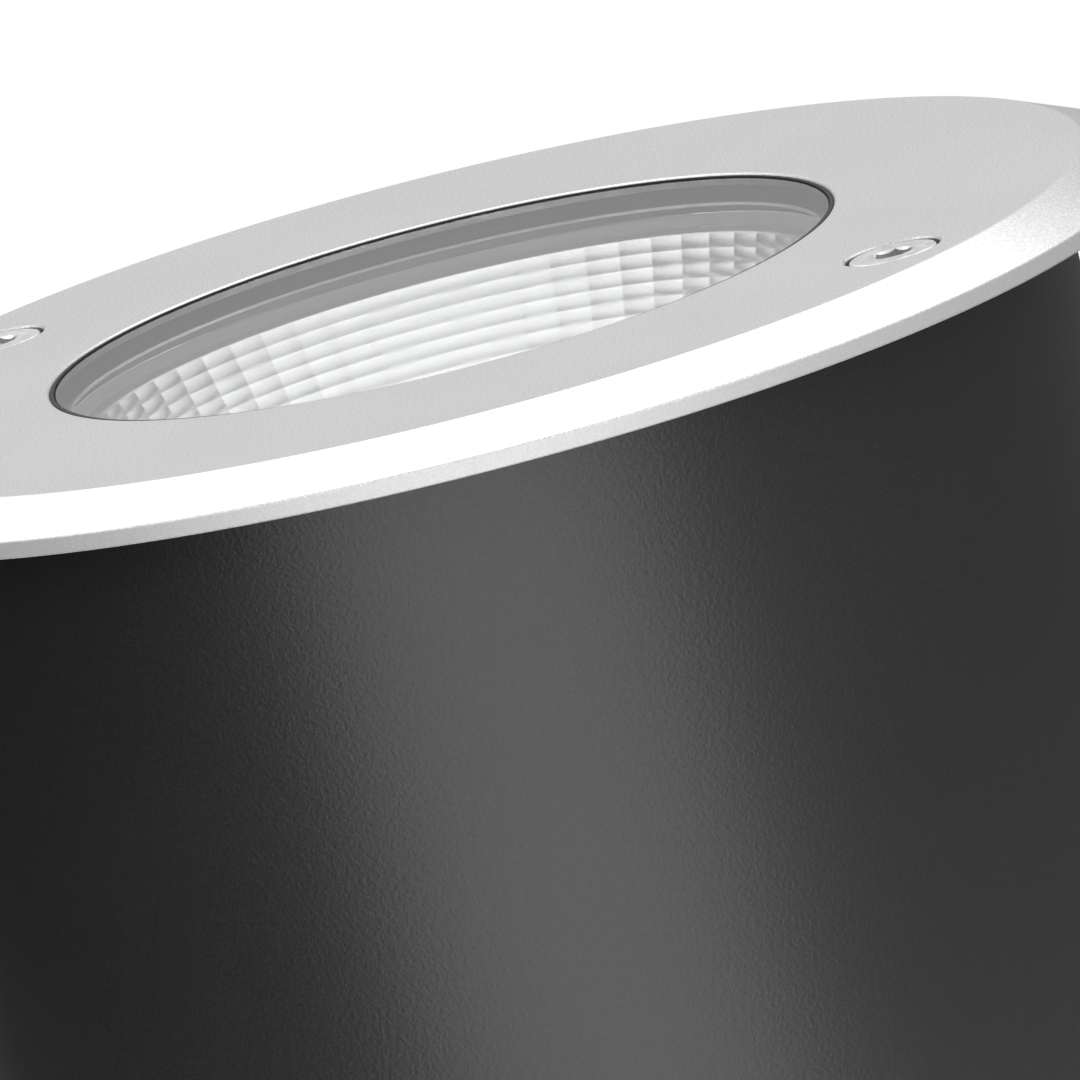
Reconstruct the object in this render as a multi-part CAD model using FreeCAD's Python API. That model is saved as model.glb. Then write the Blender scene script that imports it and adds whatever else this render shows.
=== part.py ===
"""Round in-ground well light: a flush walk-over luminaire with a bevelled steel trim ring.

A cast cylindrical housing sits in the ground. Its cover (trim ring, flush glass, seals and clamp ring)
lies on top and is held by two captive screws. Below the glass are a faceted reflector, a chip-on-board
light source on a heat spreader, and a driver with its terminal block. A cable gland leaves through an
arched pocket at the back of the housing.

Frame, in millimetres: origin at the centre of the base, +Z up through the glass, screws on the X axis,
cable gland facing +Y.
"""

import FreeCAD
import Part
import math
import os

Vector = FreeCAD.Vector
UP = Vector(0, 0, 1)
BACK = Vector(0, 1, 0)

# Clearances
fit_gap = 0.05          # radial clearance of a screw in its thread, or a push fit
seat_gap = 0.3          # clearance round pieces that are dropped into a seat
past = 1.0              # how far a hole's cutting body reaches past its face

# Trim ring
aperture_radius = 44.5
aperture_chamfer = 0.3
collar_wall = 7.05          # collar that hangs from the trim ring round the glass
trim_overhang = 10.8        # trim ring past the housing's side
bevel_width = 7.2
bevel_drop = 3.2
rim_edge_height = 2.0
underside_recess = 1.0      # the housing's rim nests in it
lip_thickness = 4.8         # trim metal above the step of the glass

# Glass and its seals
glass_recess = 0.3      # glass face below the trim's face
glass_gap = 0.45        # visible width of the black seal
glass_step = 5.5        # how far the lower disc stands out past the upper one
glass_thickness = 12.0
glass_edge_chamfer = 0.3
step_seal_thickness = 0.8
lower_seal_thickness = 0.5
clamp_ring_thickness = 2.6
clamp_bore_width = 1.5      # how far the clamp ring stands in past the seal
clamp_screw_count = 6
clamp_screw_turn = 30.0     # first clamp screw, degrees from +X
clamp_screw_radius = 1.5
clamp_screw_length = 7.0
clamp_screw_inset = 2.4      # from the collar's bore to the screw's axis
clamp_screw_head_radius = 2.8
clamp_screw_key = 2.0
clamp_screw_key_depth = 1.4

# Round seal between the collar and the housing
o_ring_section = 3.0
o_ring_groove_width = 3.6
o_ring_groove_drop = 1.0    # from the trim's underside to the groove
o_ring_bore_gap = 0.1
collar_bore_gap = 0.6       # collar to housing flange, radial

# Captive trim screws
screw_inset = 5.5           # from the housing's side to a screw's axis
screw_radius = 3.0
screw_length = 20.0         # under the head
screw_head_radius = 5.0
screw_head_height = 3.5
screw_head_recess = 0.15    # head top below the trim's face
screw_head_gap = 0.4        # counterbore to head, radial
screw_hole_gap = 0.2
hex_key = 4.0
hex_depth = 2.2
retainer_radius = 4.6
retainer_thickness = 0.8
retainer_recess = 1.5       # housing rim to the threaded insert
insert_radius = 4.0
insert_length = 12.0
insert_hole_extra = 6.0     # drilled depth below the insert

# Housing
flange_width = 11.7
flange_depth = 14.0
wall = 5.2
base_chamfer = 2.0
crown_chamfer = 1.2         # round the housing's top, inside the trim's recess
foot_width = 9.0
foot_recess = 3.0
foot_rib_count = 6
foot_rib_thickness = 3.0
foot_rib_gap = 0.6          # ribs stay clear of the ground
mouth_chamfer = 0.8         # lead-in for the round seal
floor_thickness = 5.0
ledge_lap = 8.0             # how far the heat spreader lies on the ledge
ledge_thickness = 5.0

# Cable pocket and gland
pocket_half_width = 20.0
pocket_wall = 4.0
pocket_depth = 26.2         # from the housing's side to the pocket's back
gland_floor_gap = 1.0       # housing floor to the gland's locknut
gland_thread_radius = 10.0
gland_bore_radius = 7.2
gland_hex_flats = 24.0
gland_hex_thickness = 5.0
gland_neck_length = 8.0
gland_thread_end = 2.0      # thread past the locknut
gland_washer_thickness = 1.5
gland_washer_radius = 13.0
gland_locknut_thickness = 4.5
dome_flats = 24.0
dome_length = 14.0
dome_hex_length = 8.4
dome_mouth_radius = 5.2
dome_wall = 2.0
cable_radius = 4.2
insert_sleeve_length = 12.0

# Reflector
reflector_mouth_inset = 1.55    # clamp ring's bore to the first row of facets
reflector_bottom_radius = 12.0
reflector_depth = 56.0
reflector_lip_width = 1.4       # flat rolled lip round the mouth
reflector_wall = 1.6            # measured radially
reflector_columns = 60
reflector_rows = 30
first_row_height = 1.5
skin_steps = 12                 # cones in the bowl's plain outside
reflector_clearance = 0.4       # clamp ring to reflector rim
reflector_flange_drop = 3.0     # rim to the mounting flange
reflector_flange_inset = 3.0    # from the heat spreader's edge
reflector_flange_thickness = 1.2

# Standoffs and screws that carry the reflector
standoff_inset = 3.5            # from the reflector flange's edge
standoff_radius = 2.8
standoff_count = 3
standoff_turn = 90.0            # first standoff, degrees from +X
stud_radius = 1.5
stud_length = 4.0
reflector_screw_radius = 1.5
reflector_screw_length = 7.0
reflector_screw_head_radius = 2.6
reflector_screw_head_height = 1.6
small_key = 2.0                 # socket of the small inner screws

# Light source
board_side = 24.0
board_thickness = 1.2
thermal_pad_thickness = 0.5
emitter_radius = 9.0
emitter_thickness = 0.6
holder_radius = 22.0
holder_height = 4.8
holder_clearance = 0.2      # holder to reflector neck
holder_mouth_margin = 1.0   # round the emitter
holder_screw_offset = 17.5
holder_screw_radius = 1.5
holder_screw_length = 8.0
holder_screw_head_radius = 2.7
holder_screw_head_height = 2.0

# Heat spreader
spreader_drop_gap = 1.5         # heat spreader to the flange's bore, radial
spreader_thickness = 6.0
spreader_screw_inset = 4.0      # from the heat spreader's edge
spreader_screw_count = 4
spreader_screw_turn = 45.0      # first spreader screw, degrees from +X
spreader_screw_radius = 2.0
spreader_screw_length = 9.0
spreader_screw_head_radius = 3.5
spreader_screw_head_height = 4.0
spreader_screw_key = 3.0
spreader_fin_count = 9
spreader_fin_thickness = 1.6
spreader_fin_pitch = 7.0
spreader_fin_depth = 7.0
bay_headroom = 9.7              # terminal block to the cooling fins
spreader_fin_length = 62.0
grommet_inset = 10.0            # from the ledge's bore to the grommet's axis
grommet_turn = -60.0            # degrees from +X
grommet_radius = 6.5
grommet_hole_radius = 5.0
grommet_bore_radius = 3.2
grommet_lip = 1.2

# Driver, its bracket and the terminal block
driver_length = 74.0
driver_width = 38.0
driver_height = 20.0
driver_y = -12.0
driver_edge_radius = 2.0
bracket_thickness = 1.5
bracket_margin = 5.0        # bracket past each end of the driver
bracket_post_height = 3.0
bracket_post_radius = 4.5
bracket_screw_radius = 2.0
bracket_screw_length = 6.0
bracket_screw_head_radius = 3.4
bracket_screw_head_height = 2.4
bracket_upright_gap = 2.0   # driver to the bracket's upright
bracket_upright_width = 44.0
terminal_poles = 3
terminal_pitch = 10.0
terminal_depth = 14.0
terminal_height = 15.0
terminal_above_driver = 3.0
terminal_entry_radius = 1.9
terminal_entry_depth = 5.0
terminal_screw_radius = 1.9
terminal_screw_length = 5.0
terminal_well_depth = 6.0
terminal_slot = 0.8
terminal_groove_width = 1.2
terminal_groove_depth = 5.6

# Inner wires
lead_radius = 1.1
lead_spacing = 3.0
lead_loop_height = 3.5      # driver leads above the terminal block
lead_insertion = 3.0        # end inside the terminal block or the holder
lead_bend_share = 0.45      # of the shorter run at each corner
lead_rise = 9.0             # straight run above the driver and above the grommet


# Levels from the base upwards
floor_z = foot_recess + floor_thickness
gland_height = floor_z + gland_floor_gap + gland_hex_flats / 2
bracket_z = floor_z + bracket_post_height
driver_bottom_z = bracket_z + bracket_thickness
driver_top_z = driver_bottom_z + driver_height
terminal_bottom_z = driver_top_z + terminal_above_driver
terminal_top_z = terminal_bottom_z + terminal_height
fin_bottom_z = terminal_top_z + bay_headroom
ledge_top_z = fin_bottom_z + spreader_fin_depth
ledge_bottom_z = ledge_top_z - ledge_thickness
spreader_top_z = ledge_top_z + spreader_thickness
pad_top_z = spreader_top_z + thermal_pad_thickness
board_top_z = pad_top_z + board_thickness
holder_top_z = spreader_top_z + holder_height
reflector_bottom_z = holder_top_z + holder_clearance
reflector_top_z = reflector_bottom_z + reflector_depth
reflector_flange_z = reflector_top_z - reflector_flange_drop
clamp_bottom_z = reflector_top_z + reflector_clearance
clamp_top_z = clamp_bottom_z + clamp_ring_thickness
glass_bottom_z = clamp_top_z + lower_seal_thickness
glass_top_z = glass_bottom_z + glass_thickness
top_z = glass_top_z + glass_recess
lip_under_z = top_z - lip_thickness
glass_step_z = lip_under_z - step_seal_thickness
rim_z = top_z - bevel_drop - rim_edge_height
recess_z = rim_z + underside_recess
housing_top_z = recess_z - seat_gap
insert_top_z = housing_top_z - retainer_recess
flange_bottom_z = housing_top_z - flange_depth
groove_top_z = housing_top_z - o_ring_groove_drop
groove_bottom_z = groove_top_z - o_ring_groove_width

# Radii and places that follow from the sizes above, from the glass outwards
glass_radius = aperture_radius - glass_gap
glass_flange_radius = glass_radius + glass_step
collar_bore_radius = glass_flange_radius + seat_gap
collar_radius = collar_bore_radius + collar_wall
flange_bore_radius = collar_radius + collar_bore_gap
body_radius = flange_bore_radius + flange_width
trim_radius = body_radius + trim_overhang
screw_circle_radius = body_radius - screw_inset
clamp_bore_radius = glass_radius - clamp_bore_width
clamp_screw_circle = collar_bore_radius + clamp_screw_inset
groove_floor_radius = flange_bore_radius - o_ring_bore_gap - o_ring_section
cavity_radius = body_radius - wall
pocket_face_y = body_radius - pocket_depth
ledge_slope = cavity_radius - flange_bore_radius
spreader_radius = flange_bore_radius - spreader_drop_gap
spreader_screw_circle = spreader_radius - spreader_screw_inset
ledge_bore_radius = spreader_radius - ledge_lap
grommet_x = (ledge_bore_radius - grommet_inset) * math.cos(math.radians(grommet_turn))
grommet_y = (ledge_bore_radius - grommet_inset) * math.sin(math.radians(grommet_turn))
reflector_top_radius = clamp_bore_radius - reflector_mouth_inset
reflector_flange_radius = spreader_radius - reflector_flange_inset
standoff_circle_radius = reflector_flange_radius - standoff_inset
recess_radius = body_radius + seat_gap
upright_y = driver_y + driver_width / 2 + bracket_upright_gap
terminal_face_y = upright_y + bracket_thickness
terminal_y = terminal_face_y + terminal_depth / 2
bracket_screw_x = driver_length / 2 + bracket_margin
screw_seat_z = top_z - screw_head_recess - screw_head_height
holder_screw_seat_z = holder_top_z - holder_screw_head_height
screw_places = (screw_circle_radius, -screw_circle_radius)
holder_screw_places = (holder_screw_offset, -holder_screw_offset)
lead_shifts = (-lead_spacing / 2, lead_spacing / 2)
bracket_screw_places = (bracket_screw_x, -bracket_screw_x)


def cylinder(radius, low, high, x=0.0, y=0.0):
    return Part.makeCylinder(radius, high - low, Vector(x, y, low), UP)


def ring(inner, outer, low, high, x=0.0, y=0.0):
    return cylinder(outer, low, high, x, y).cut(cylinder(inner, low, high, x, y))


def rod_y(radius, near, far, x=0.0, z=gland_height):
    return Part.makeCylinder(radius, far - near, Vector(x, near, z), BACK)


def tube_y(inner, outer, near, far):
    return rod_y(outer, near, far).cut(rod_y(inner, near, far))


def block(x_size, y_size, low, high, x=0.0, y=0.0):
    return Part.makeBox(x_size, y_size, high - low, Vector(x - x_size / 2, y - y_size / 2, low))


def revolved(profile):
    """Solid of revolution about Z from a closed outline of (radius, z) corners."""
    corners = [Vector(r, 0, z) for r, z in profile]
    outline = Part.makePolygon(corners + corners[:1])
    return Part.Face(outline).revolve(Vector(0, 0, 0), UP, 360)


def hexagon(flats, low, high, x=0.0, y=0.0):
    """Upright hexagonal prism, measured across its flats."""
    corner = flats / math.sqrt(3)
    points = [
        Vector(x + corner * math.cos(math.radians(60 * k)), y + corner * math.sin(math.radians(60 * k)), low)
        for k in range(7)
    ]
    return Part.Face(Part.makePolygon(points)).extrude(Vector(0, 0, high - low))


def hexagon_y(flats, near, far):
    """Hexagonal prism along +Y about the gland's axis."""
    prism = hexagon(flats, near, far)
    prism.rotate(Vector(0, 0, 0), Vector(1, 0, 0), -90)
    prism.translate(Vector(0, 0, gland_height))
    return prism


def around(count, radius, start=0.0):
    """(x, y) of evenly spaced places on a circle."""
    turns = [math.radians(start + 360.0 * k / count) for k in range(count)]
    return [(radius * math.cos(a), radius * math.sin(a)) for a in turns]


def joined(shapes):
    return shapes[0].multiFuse(shapes[1:]) if len(shapes) > 1 else shapes[0]


def group(shapes):
    return Part.makeCompound(shapes)


def cap_screw(x, y, seat, radius, length, head_radius, head_height, key):
    """Socket screw standing on a seat, with its shank below it."""
    screw = cylinder(radius, seat - length, seat, x, y)
    head = cylinder(head_radius, seat, seat + head_height, x, y)
    socket = hexagon(key, seat + head_height / 3, seat + head_height + past, x, y)
    return screw.fuse(head).cut(socket)


# The cover: trim ring, glass, seals, clamp ring

def trim_ring():
    profile = [
        (aperture_radius, top_z - aperture_chamfer),
        (aperture_radius + aperture_chamfer, top_z),
        (trim_radius - bevel_width, top_z),
        (trim_radius, top_z - bevel_drop),
        (trim_radius, rim_z),
        (recess_radius, rim_z),
        (recess_radius, recess_z),
        (collar_radius, recess_z),
        (collar_radius, groove_top_z),
        (groove_floor_radius, groove_top_z),
        (groove_floor_radius, groove_bottom_z),
        (collar_radius, groove_bottom_z),
        (collar_radius, clamp_top_z),
        (collar_bore_radius, clamp_top_z),
        (collar_bore_radius, lip_under_z),
        (aperture_radius, lip_under_z),
    ]
    trim = revolved(profile)
    for x in screw_places:
        trim = trim.cut(cylinder(screw_head_radius + screw_head_gap, screw_seat_z, top_z + past, x))
        trim = trim.cut(cylinder(screw_radius + screw_hole_gap, rim_z, top_z, x))
    thread_top = clamp_bottom_z + clamp_screw_length + fit_gap
    for x, y in clamp_screw_places():
        trim = trim.cut(cylinder(clamp_screw_radius + fit_gap, clamp_top_z, thread_top, x, y))
    return trim


def glass():
    profile = [
        (0, glass_top_z),
        (glass_radius - glass_edge_chamfer, glass_top_z),
        (glass_radius, glass_top_z - glass_edge_chamfer),
        (glass_radius, glass_step_z),
        (glass_flange_radius, glass_step_z),
        (glass_flange_radius, glass_bottom_z),
        (0, glass_bottom_z),
    ]
    return revolved(profile)


def glass_seal():
    """Angle-section seal: its upright leg is the black line round the glass."""
    seal_top_z = glass_top_z - glass_edge_chamfer
    profile = [
        (glass_radius, seal_top_z),
        (aperture_radius, seal_top_z),
        (aperture_radius, lip_under_z),
        (glass_flange_radius, lip_under_z),
        (glass_flange_radius, glass_step_z),
        (glass_radius, glass_step_z),
    ]
    return revolved(profile)


def glass_lower_seal():
    return ring(glass_radius, glass_flange_radius, clamp_top_z, glass_bottom_z)


def clamp_screw_places():
    return around(clamp_screw_count, clamp_screw_circle, clamp_screw_turn)


def clamp_ring():
    plate = ring(clamp_bore_radius, collar_radius, clamp_bottom_z, clamp_top_z)
    for x, y in clamp_screw_places():
        plate = plate.cut(clamp_screw_at(x, y, fit_gap))
    return plate


def clamp_screw_at(x, y, extra=0.0):
    """Countersunk screw from below; extra grows it into the hole that it leaves."""
    cone_height = clamp_screw_head_radius - clamp_screw_radius
    cone = Part.makeCone(
        clamp_screw_head_radius + extra,
        clamp_screw_radius + extra,
        cone_height,
        Vector(x, y, clamp_bottom_z),
        UP,
    )
    shank_top = clamp_bottom_z + clamp_screw_length
    return cone.fuse(cylinder(clamp_screw_radius + extra, clamp_bottom_z, shank_top, x, y))


def clamp_screws():
    screws = []
    for x, y in clamp_screw_places():
        drive_end = clamp_bottom_z + clamp_screw_key_depth
        drive = hexagon(clamp_screw_key, clamp_bottom_z - past, drive_end, x, y)
        screws.append(clamp_screw_at(x, y).cut(drive))
    return group(screws)


def cover_o_ring():
    centre = groove_floor_radius + o_ring_section / 2
    middle = (groove_top_z + groove_bottom_z) / 2
    return Part.makeTorus(centre, o_ring_section / 2, Vector(0, 0, middle), UP)


def trim_screw(x):
    head_top = screw_seat_z + screw_head_height
    screw = cylinder(screw_radius, screw_seat_z - screw_length, screw_seat_z, x)
    screw = screw.fuse(cylinder(screw_head_radius, screw_seat_z, head_top, x))
    return screw.cut(hexagon(hex_key, head_top - hex_depth, head_top + past, x))


def screw_retainer(x):
    """Push-on washer that keeps the screw in the trim ring."""
    return ring(screw_radius, retainer_radius, recess_z - retainer_thickness, recess_z, x)


# The housing

def pocket(grow, near):
    """Arch-shaped tunnel along +Y, open at the base, round the gland."""
    half = pocket_half_width + grow
    low = -foot_recess
    far = body_radius + past
    corners = [Vector(-half, near, gland_height), Vector(-half, near, low), Vector(half, near, low)]
    sides = Part.makePolygon(corners + [Vector(half, near, gland_height)])
    crown = Part.Arc(
        Vector(half, near, gland_height),
        Vector(0, near, gland_height + half),
        Vector(-half, near, gland_height),
    ).toShape()
    return Part.Face(Part.Wire(sides.Edges + [crown])).extrude(Vector(0, far - near, 0))


def foot_ribs():
    """Radial ribs under the floor, inside the foot ring."""
    reach = body_radius - base_chamfer - foot_width
    rib = block(reach, foot_rib_thickness, foot_rib_gap, foot_recess, reach / 2)
    ribs = []
    for k in range(foot_rib_count):
        turned = rib.copy()
        turned.rotate(Vector(0, 0, 0), UP, 360.0 * k / foot_rib_count)
        ribs.append(turned)
    return ribs


def housing():
    outside = [
        (0, foot_recess),
        (body_radius - base_chamfer - foot_width, foot_recess),
        (body_radius - base_chamfer - foot_width, 0),
        (body_radius - base_chamfer, 0),
        (body_radius, base_chamfer),
        (body_radius, housing_top_z - crown_chamfer),
        (body_radius - crown_chamfer, housing_top_z),
        (0, housing_top_z),
    ]
    inside = [
        (0, floor_z),
        (cavity_radius, floor_z),
        (cavity_radius, ledge_bottom_z - ledge_slope),
        (ledge_bore_radius, ledge_bottom_z),
        (ledge_bore_radius, ledge_top_z),
        (cavity_radius, ledge_top_z),
        (cavity_radius, flange_bottom_z - ledge_slope),
        (flange_bore_radius, flange_bottom_z),
        (flange_bore_radius, housing_top_z - mouth_chamfer),
        (flange_bore_radius + mouth_chamfer, housing_top_z),
        (0, housing_top_z),
    ]
    solid = revolved(outside)
    cavity = revolved(inside).cut(pocket(pocket_wall, pocket_face_y - pocket_wall))
    shell = solid.multiFuse(foot_ribs()).cut(cavity).cut(pocket(0, pocket_face_y))
    additions = [screw_boss(x).common(solid) for x in screw_places]
    for x in bracket_screw_places:
        additions.append(cylinder(bracket_post_radius, floor_z, bracket_z, x, driver_y))
    return shell.multiFuse(additions).cut(joined(housing_holes())).removeSplitter()


def screw_boss(x):
    low = insert_top_z - insert_length - insert_hole_extra - wall
    return cylinder(screw_circle_radius - flange_bore_radius, low, housing_top_z, x)


def housing_holes():
    holes = []
    for x in screw_places:
        insert_bottom = insert_top_z - insert_length
        drill_bottom = insert_bottom - insert_hole_extra
        holes.append(cylinder(retainer_radius + seat_gap, insert_top_z, housing_top_z + past, x))
        holes.append(cylinder(insert_radius, insert_bottom, insert_top_z, x))
        holes.append(cylinder(screw_radius + screw_hole_gap, drill_bottom, insert_bottom, x))
    for x, y in spreader_screw_places():
        low = ledge_bottom_z - ledge_slope
        holes.append(cylinder(spreader_screw_radius + fit_gap, low, ledge_top_z, x, y))
    thread_bottom = driver_bottom_z - bracket_screw_length - fit_gap
    for x in bracket_screw_places:
        holes.append(cylinder(bracket_screw_radius + fit_gap, thread_bottom, bracket_z, x, driver_y))
    gland_hole_near = pocket_face_y - pocket_wall - past
    holes.append(rod_y(gland_thread_radius + fit_gap, gland_hole_near, pocket_face_y + past))
    return holes


def threaded_inserts():
    low = insert_top_z - insert_length
    return group([ring(screw_radius + fit_gap, insert_radius, low, insert_top_z, x) for x in screw_places])


# The cable gland, from inside the housing outwards

def gland_body():
    inner_end = pocket_face_y - pocket_wall - gland_locknut_thickness - gland_thread_end
    hex_near = pocket_face_y + gland_washer_thickness
    hex_far = hex_near + gland_hex_thickness
    body = rod_y(gland_thread_radius, inner_end, hex_near)
    body = body.fuse(hexagon_y(gland_hex_flats, hex_near, hex_far))
    body = body.fuse(rod_y(gland_thread_radius, hex_far, hex_far + gland_neck_length))
    return body.cut(rod_y(gland_bore_radius, inner_end, hex_far + gland_neck_length))


def gland_washer():
    far = pocket_face_y + gland_washer_thickness
    return tube_y(gland_thread_radius, gland_washer_radius, pocket_face_y, far)


def gland_locknut():
    far = pocket_face_y - pocket_wall
    near = far - gland_locknut_thickness
    return hexagon_y(gland_hex_flats, near, far).cut(rod_y(gland_thread_radius, near, far))


def gland_insert():
    """Rubber sleeve that grips the cable, with a shoulder on the neck's end."""
    neck_end = pocket_face_y + gland_washer_thickness + gland_hex_thickness + gland_neck_length
    shoulder_end = neck_end + dome_wall
    sleeve = rod_y(gland_bore_radius, shoulder_end - insert_sleeve_length, neck_end)
    shoulder = rod_y(gland_thread_radius - dome_wall / 2, neck_end, shoulder_end)
    bore = rod_y(cable_radius, shoulder_end - insert_sleeve_length, shoulder_end)
    return sleeve.fuse(shoulder).cut(bore)


def gland_dome_nut():
    """Cap nut over the neck, drawn in to a round mouth."""
    near = pocket_face_y + gland_washer_thickness + gland_hex_thickness + seat_gap
    shoulder_end = near + gland_neck_length + dome_wall
    hex_far = near + dome_hex_length
    crown = Part.makeCone(
        dome_flats / 2,
        dome_mouth_radius + dome_wall,
        near + dome_length - hex_far,
        Vector(0, hex_far, gland_height),
        BACK,
    )
    nut = hexagon_y(dome_flats, near, hex_far).fuse(crown)
    nut = nut.cut(rod_y(gland_thread_radius + fit_gap, near, shoulder_end))
    return nut.cut(rod_y(dome_mouth_radius, near, near + dome_length + past))


# Reflector and light source

def reflector_radius_at(z):
    """Inner radius of the parabolic bowl at a height."""
    top_square = reflector_top_radius ** 2
    bottom_square = reflector_bottom_radius ** 2
    share = (z - reflector_bottom_z) / reflector_depth
    return math.sqrt(bottom_square + (top_square - bottom_square) * share)


def facet_levels():
    """Row levels, each row a little taller than the one above it."""
    spare = reflector_depth - reflector_rows * first_row_height
    growth = 2 * spare / (reflector_rows * (reflector_rows - 1))
    levels = [reflector_top_z]
    for k in range(reflector_rows):
        levels.append(levels[-1] - first_row_height - growth * k)
    return levels[:-1] + [reflector_bottom_z]


def facet_corners(z):
    """Corners of one level of facets, whose flats touch the bowl's inner radius."""
    radius = reflector_radius_at(z) / math.cos(math.pi / reflector_columns)
    return [Vector(x, y, z) for x, y in around(reflector_columns, radius)]


def faceted_core():
    """The space inside the bowl: rows of flat facets round a closed solid."""
    levels = [facet_corners(z) for z in facet_levels()]
    faces = [Part.Face(Part.makePolygon(ends + ends[:1])) for ends in (levels[0], levels[-1])]
    for upper, lower in zip(levels, levels[1:]):
        for k in range(reflector_columns):
            n = (k + 1) % reflector_columns
            faces.append(Part.Face(Part.makePolygon([upper[k], lower[k], lower[n], upper[n], upper[k]])))
    shell = Part.makeShell(faces)
    shell.sewShape()
    return Part.makeSolid(Part.Shell(shell.Faces))


def standoff_places():
    return around(standoff_count, standoff_circle_radius, standoff_turn)


def reflector():
    """Spun bowl: a flat lip round its mouth, rows of facets, and a mounting flange on the outside."""
    flange_low = reflector_flange_z - reflector_flange_thickness
    lip_low = reflector_top_z - reflector_wall
    skin_levels = [
        flange_low + (reflector_bottom_z - flange_low) * (k / skin_steps)
        for k in range(skin_steps + 1)
    ]
    profile = [
        (0, reflector_bottom_z),
        (0, reflector_top_z),
        (reflector_top_radius + reflector_wall + reflector_lip_width, reflector_top_z),
        (reflector_top_radius + reflector_wall + reflector_lip_width, lip_low),
        (reflector_radius_at(lip_low) + reflector_wall, lip_low),
        (reflector_radius_at(reflector_flange_z) + reflector_wall, reflector_flange_z),
        (reflector_flange_radius, reflector_flange_z),
        (reflector_flange_radius, flange_low),
    ]
    skin = [(reflector_radius_at(z) + reflector_wall, z) for z in skin_levels]
    bowl = revolved(profile + skin).cut(faceted_core())
    holes = [
        cylinder(reflector_screw_radius + fit_gap, flange_low - past, reflector_flange_z + past, x, y)
        for x, y in standoff_places()
    ]
    return bowl.cut(joined(holes))


def reflector_standoffs():
    """Pillars with a stud below, in the heat spreader, and a tapped hole above."""
    top = reflector_flange_z - reflector_flange_thickness
    thread = reflector_screw_length - reflector_flange_thickness + fit_gap
    pillars = []
    for x, y in standoff_places():
        pillar = cylinder(standoff_radius, spreader_top_z, top, x, y)
        pillar = pillar.fuse(cylinder(stud_radius, spreader_top_z - stud_length, spreader_top_z, x, y))
        pillars.append(pillar.cut(cylinder(reflector_screw_radius + fit_gap, top - thread, top, x, y)))
    return group(pillars)


def reflector_screws():
    return group([
        cap_screw(
            x, y, reflector_flange_z, reflector_screw_radius, reflector_screw_length,
            reflector_screw_head_radius, reflector_screw_head_height, small_key,
        )
        for x, y in standoff_places()
    ])


def thermal_pad():
    return block(board_side, board_side, spreader_top_z, pad_top_z)


def led_board():
    return block(board_side, board_side, pad_top_z, board_top_z)


def led_emitter():
    return cylinder(emitter_radius, board_top_z, board_top_z + emitter_thickness)


def led_holder():
    """Clamp over the board, with a funnel above the emitter and sunk screws."""
    holder = cylinder(holder_radius, spreader_top_z, holder_top_z)
    recess_side = board_side + 2 * fit_gap
    holder = holder.cut(block(recess_side, recess_side, spreader_top_z, board_top_z))
    funnel = Part.makeCone(
        emitter_radius + holder_mouth_margin,
        reflector_bottom_radius,
        holder_top_z - board_top_z,
        Vector(0, 0, board_top_z),
        UP,
    )
    holder = holder.cut(funnel)
    well_radius = holder_screw_head_radius + seat_gap
    for x in holder_screw_places:
        holder = holder.cut(cylinder(holder_screw_radius + fit_gap, spreader_top_z, holder_top_z, x))
        holder = holder.cut(cylinder(well_radius, holder_screw_seat_z, holder_top_z, x))
    for shift in lead_shifts:
        inner = holder_entry(holder_radius - lead_insertion, shift)
        outward = holder_entry(holder_radius, shift) - inner
        holder = holder.cut(Part.makeCylinder(lead_radius + fit_gap, 2 * lead_insertion, inner, outward))
    return holder


def led_holder_screws():
    return group([
        cap_screw(
            x, 0, holder_screw_seat_z, holder_screw_radius, holder_screw_length,
            holder_screw_head_radius, holder_screw_head_height, small_key,
        )
        for x in holder_screw_places
    ])


def spreader_screw_places():
    return around(spreader_screw_count, spreader_screw_circle, spreader_screw_turn)


def heat_spreader():
    """Disc on the housing's ledge, with cooling fins hanging inside the ledge's bore."""
    plate = cylinder(spreader_radius, ledge_top_z, spreader_top_z)
    middle = (spreader_fin_count - 1) / 2
    fins = [
        block(
            spreader_fin_thickness, spreader_fin_length, fin_bottom_z, ledge_top_z,
            (k - middle) * spreader_fin_pitch,
        )
        for k in range(spreader_fin_count)
    ]
    holes = [
        cylinder(grommet_radius + seat_gap, fin_bottom_z, ledge_top_z, grommet_x, grommet_y),
        cylinder(grommet_hole_radius, ledge_top_z, spreader_top_z, grommet_x, grommet_y),
    ]
    for x, y in spreader_screw_places():
        holes.append(cylinder(spreader_screw_radius + fit_gap, ledge_top_z, spreader_top_z, x, y))
    for x, y in standoff_places():
        holes.append(cylinder(stud_radius + fit_gap, spreader_top_z - stud_length, spreader_top_z, x, y))
    for x in holder_screw_places:
        low = holder_screw_seat_z - holder_screw_length - fit_gap
        holes.append(cylinder(holder_screw_radius + fit_gap, low, spreader_top_z, x))
    return plate.multiFuse(fins).cut(joined(holes))


def spreader_screws():
    return group([
        cap_screw(
            x, y, spreader_top_z, spreader_screw_radius, spreader_screw_length,
            spreader_screw_head_radius, spreader_screw_head_height, spreader_screw_key,
        )
        for x, y in spreader_screw_places()
    ])


def wire_grommet():
    profile_low = ledge_top_z - grommet_lip
    profile_high = spreader_top_z + grommet_lip
    body = cylinder(grommet_hole_radius, ledge_top_z, spreader_top_z, grommet_x, grommet_y)
    lower = cylinder(grommet_radius, profile_low, ledge_top_z, grommet_x, grommet_y)
    upper = cylinder(grommet_radius, spreader_top_z, profile_high, grommet_x, grommet_y)
    bore = cylinder(grommet_bore_radius, profile_low, profile_high, grommet_x, grommet_y)
    return body.multiFuse([lower, upper]).cut(bore)


# Driver compartment

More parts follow.
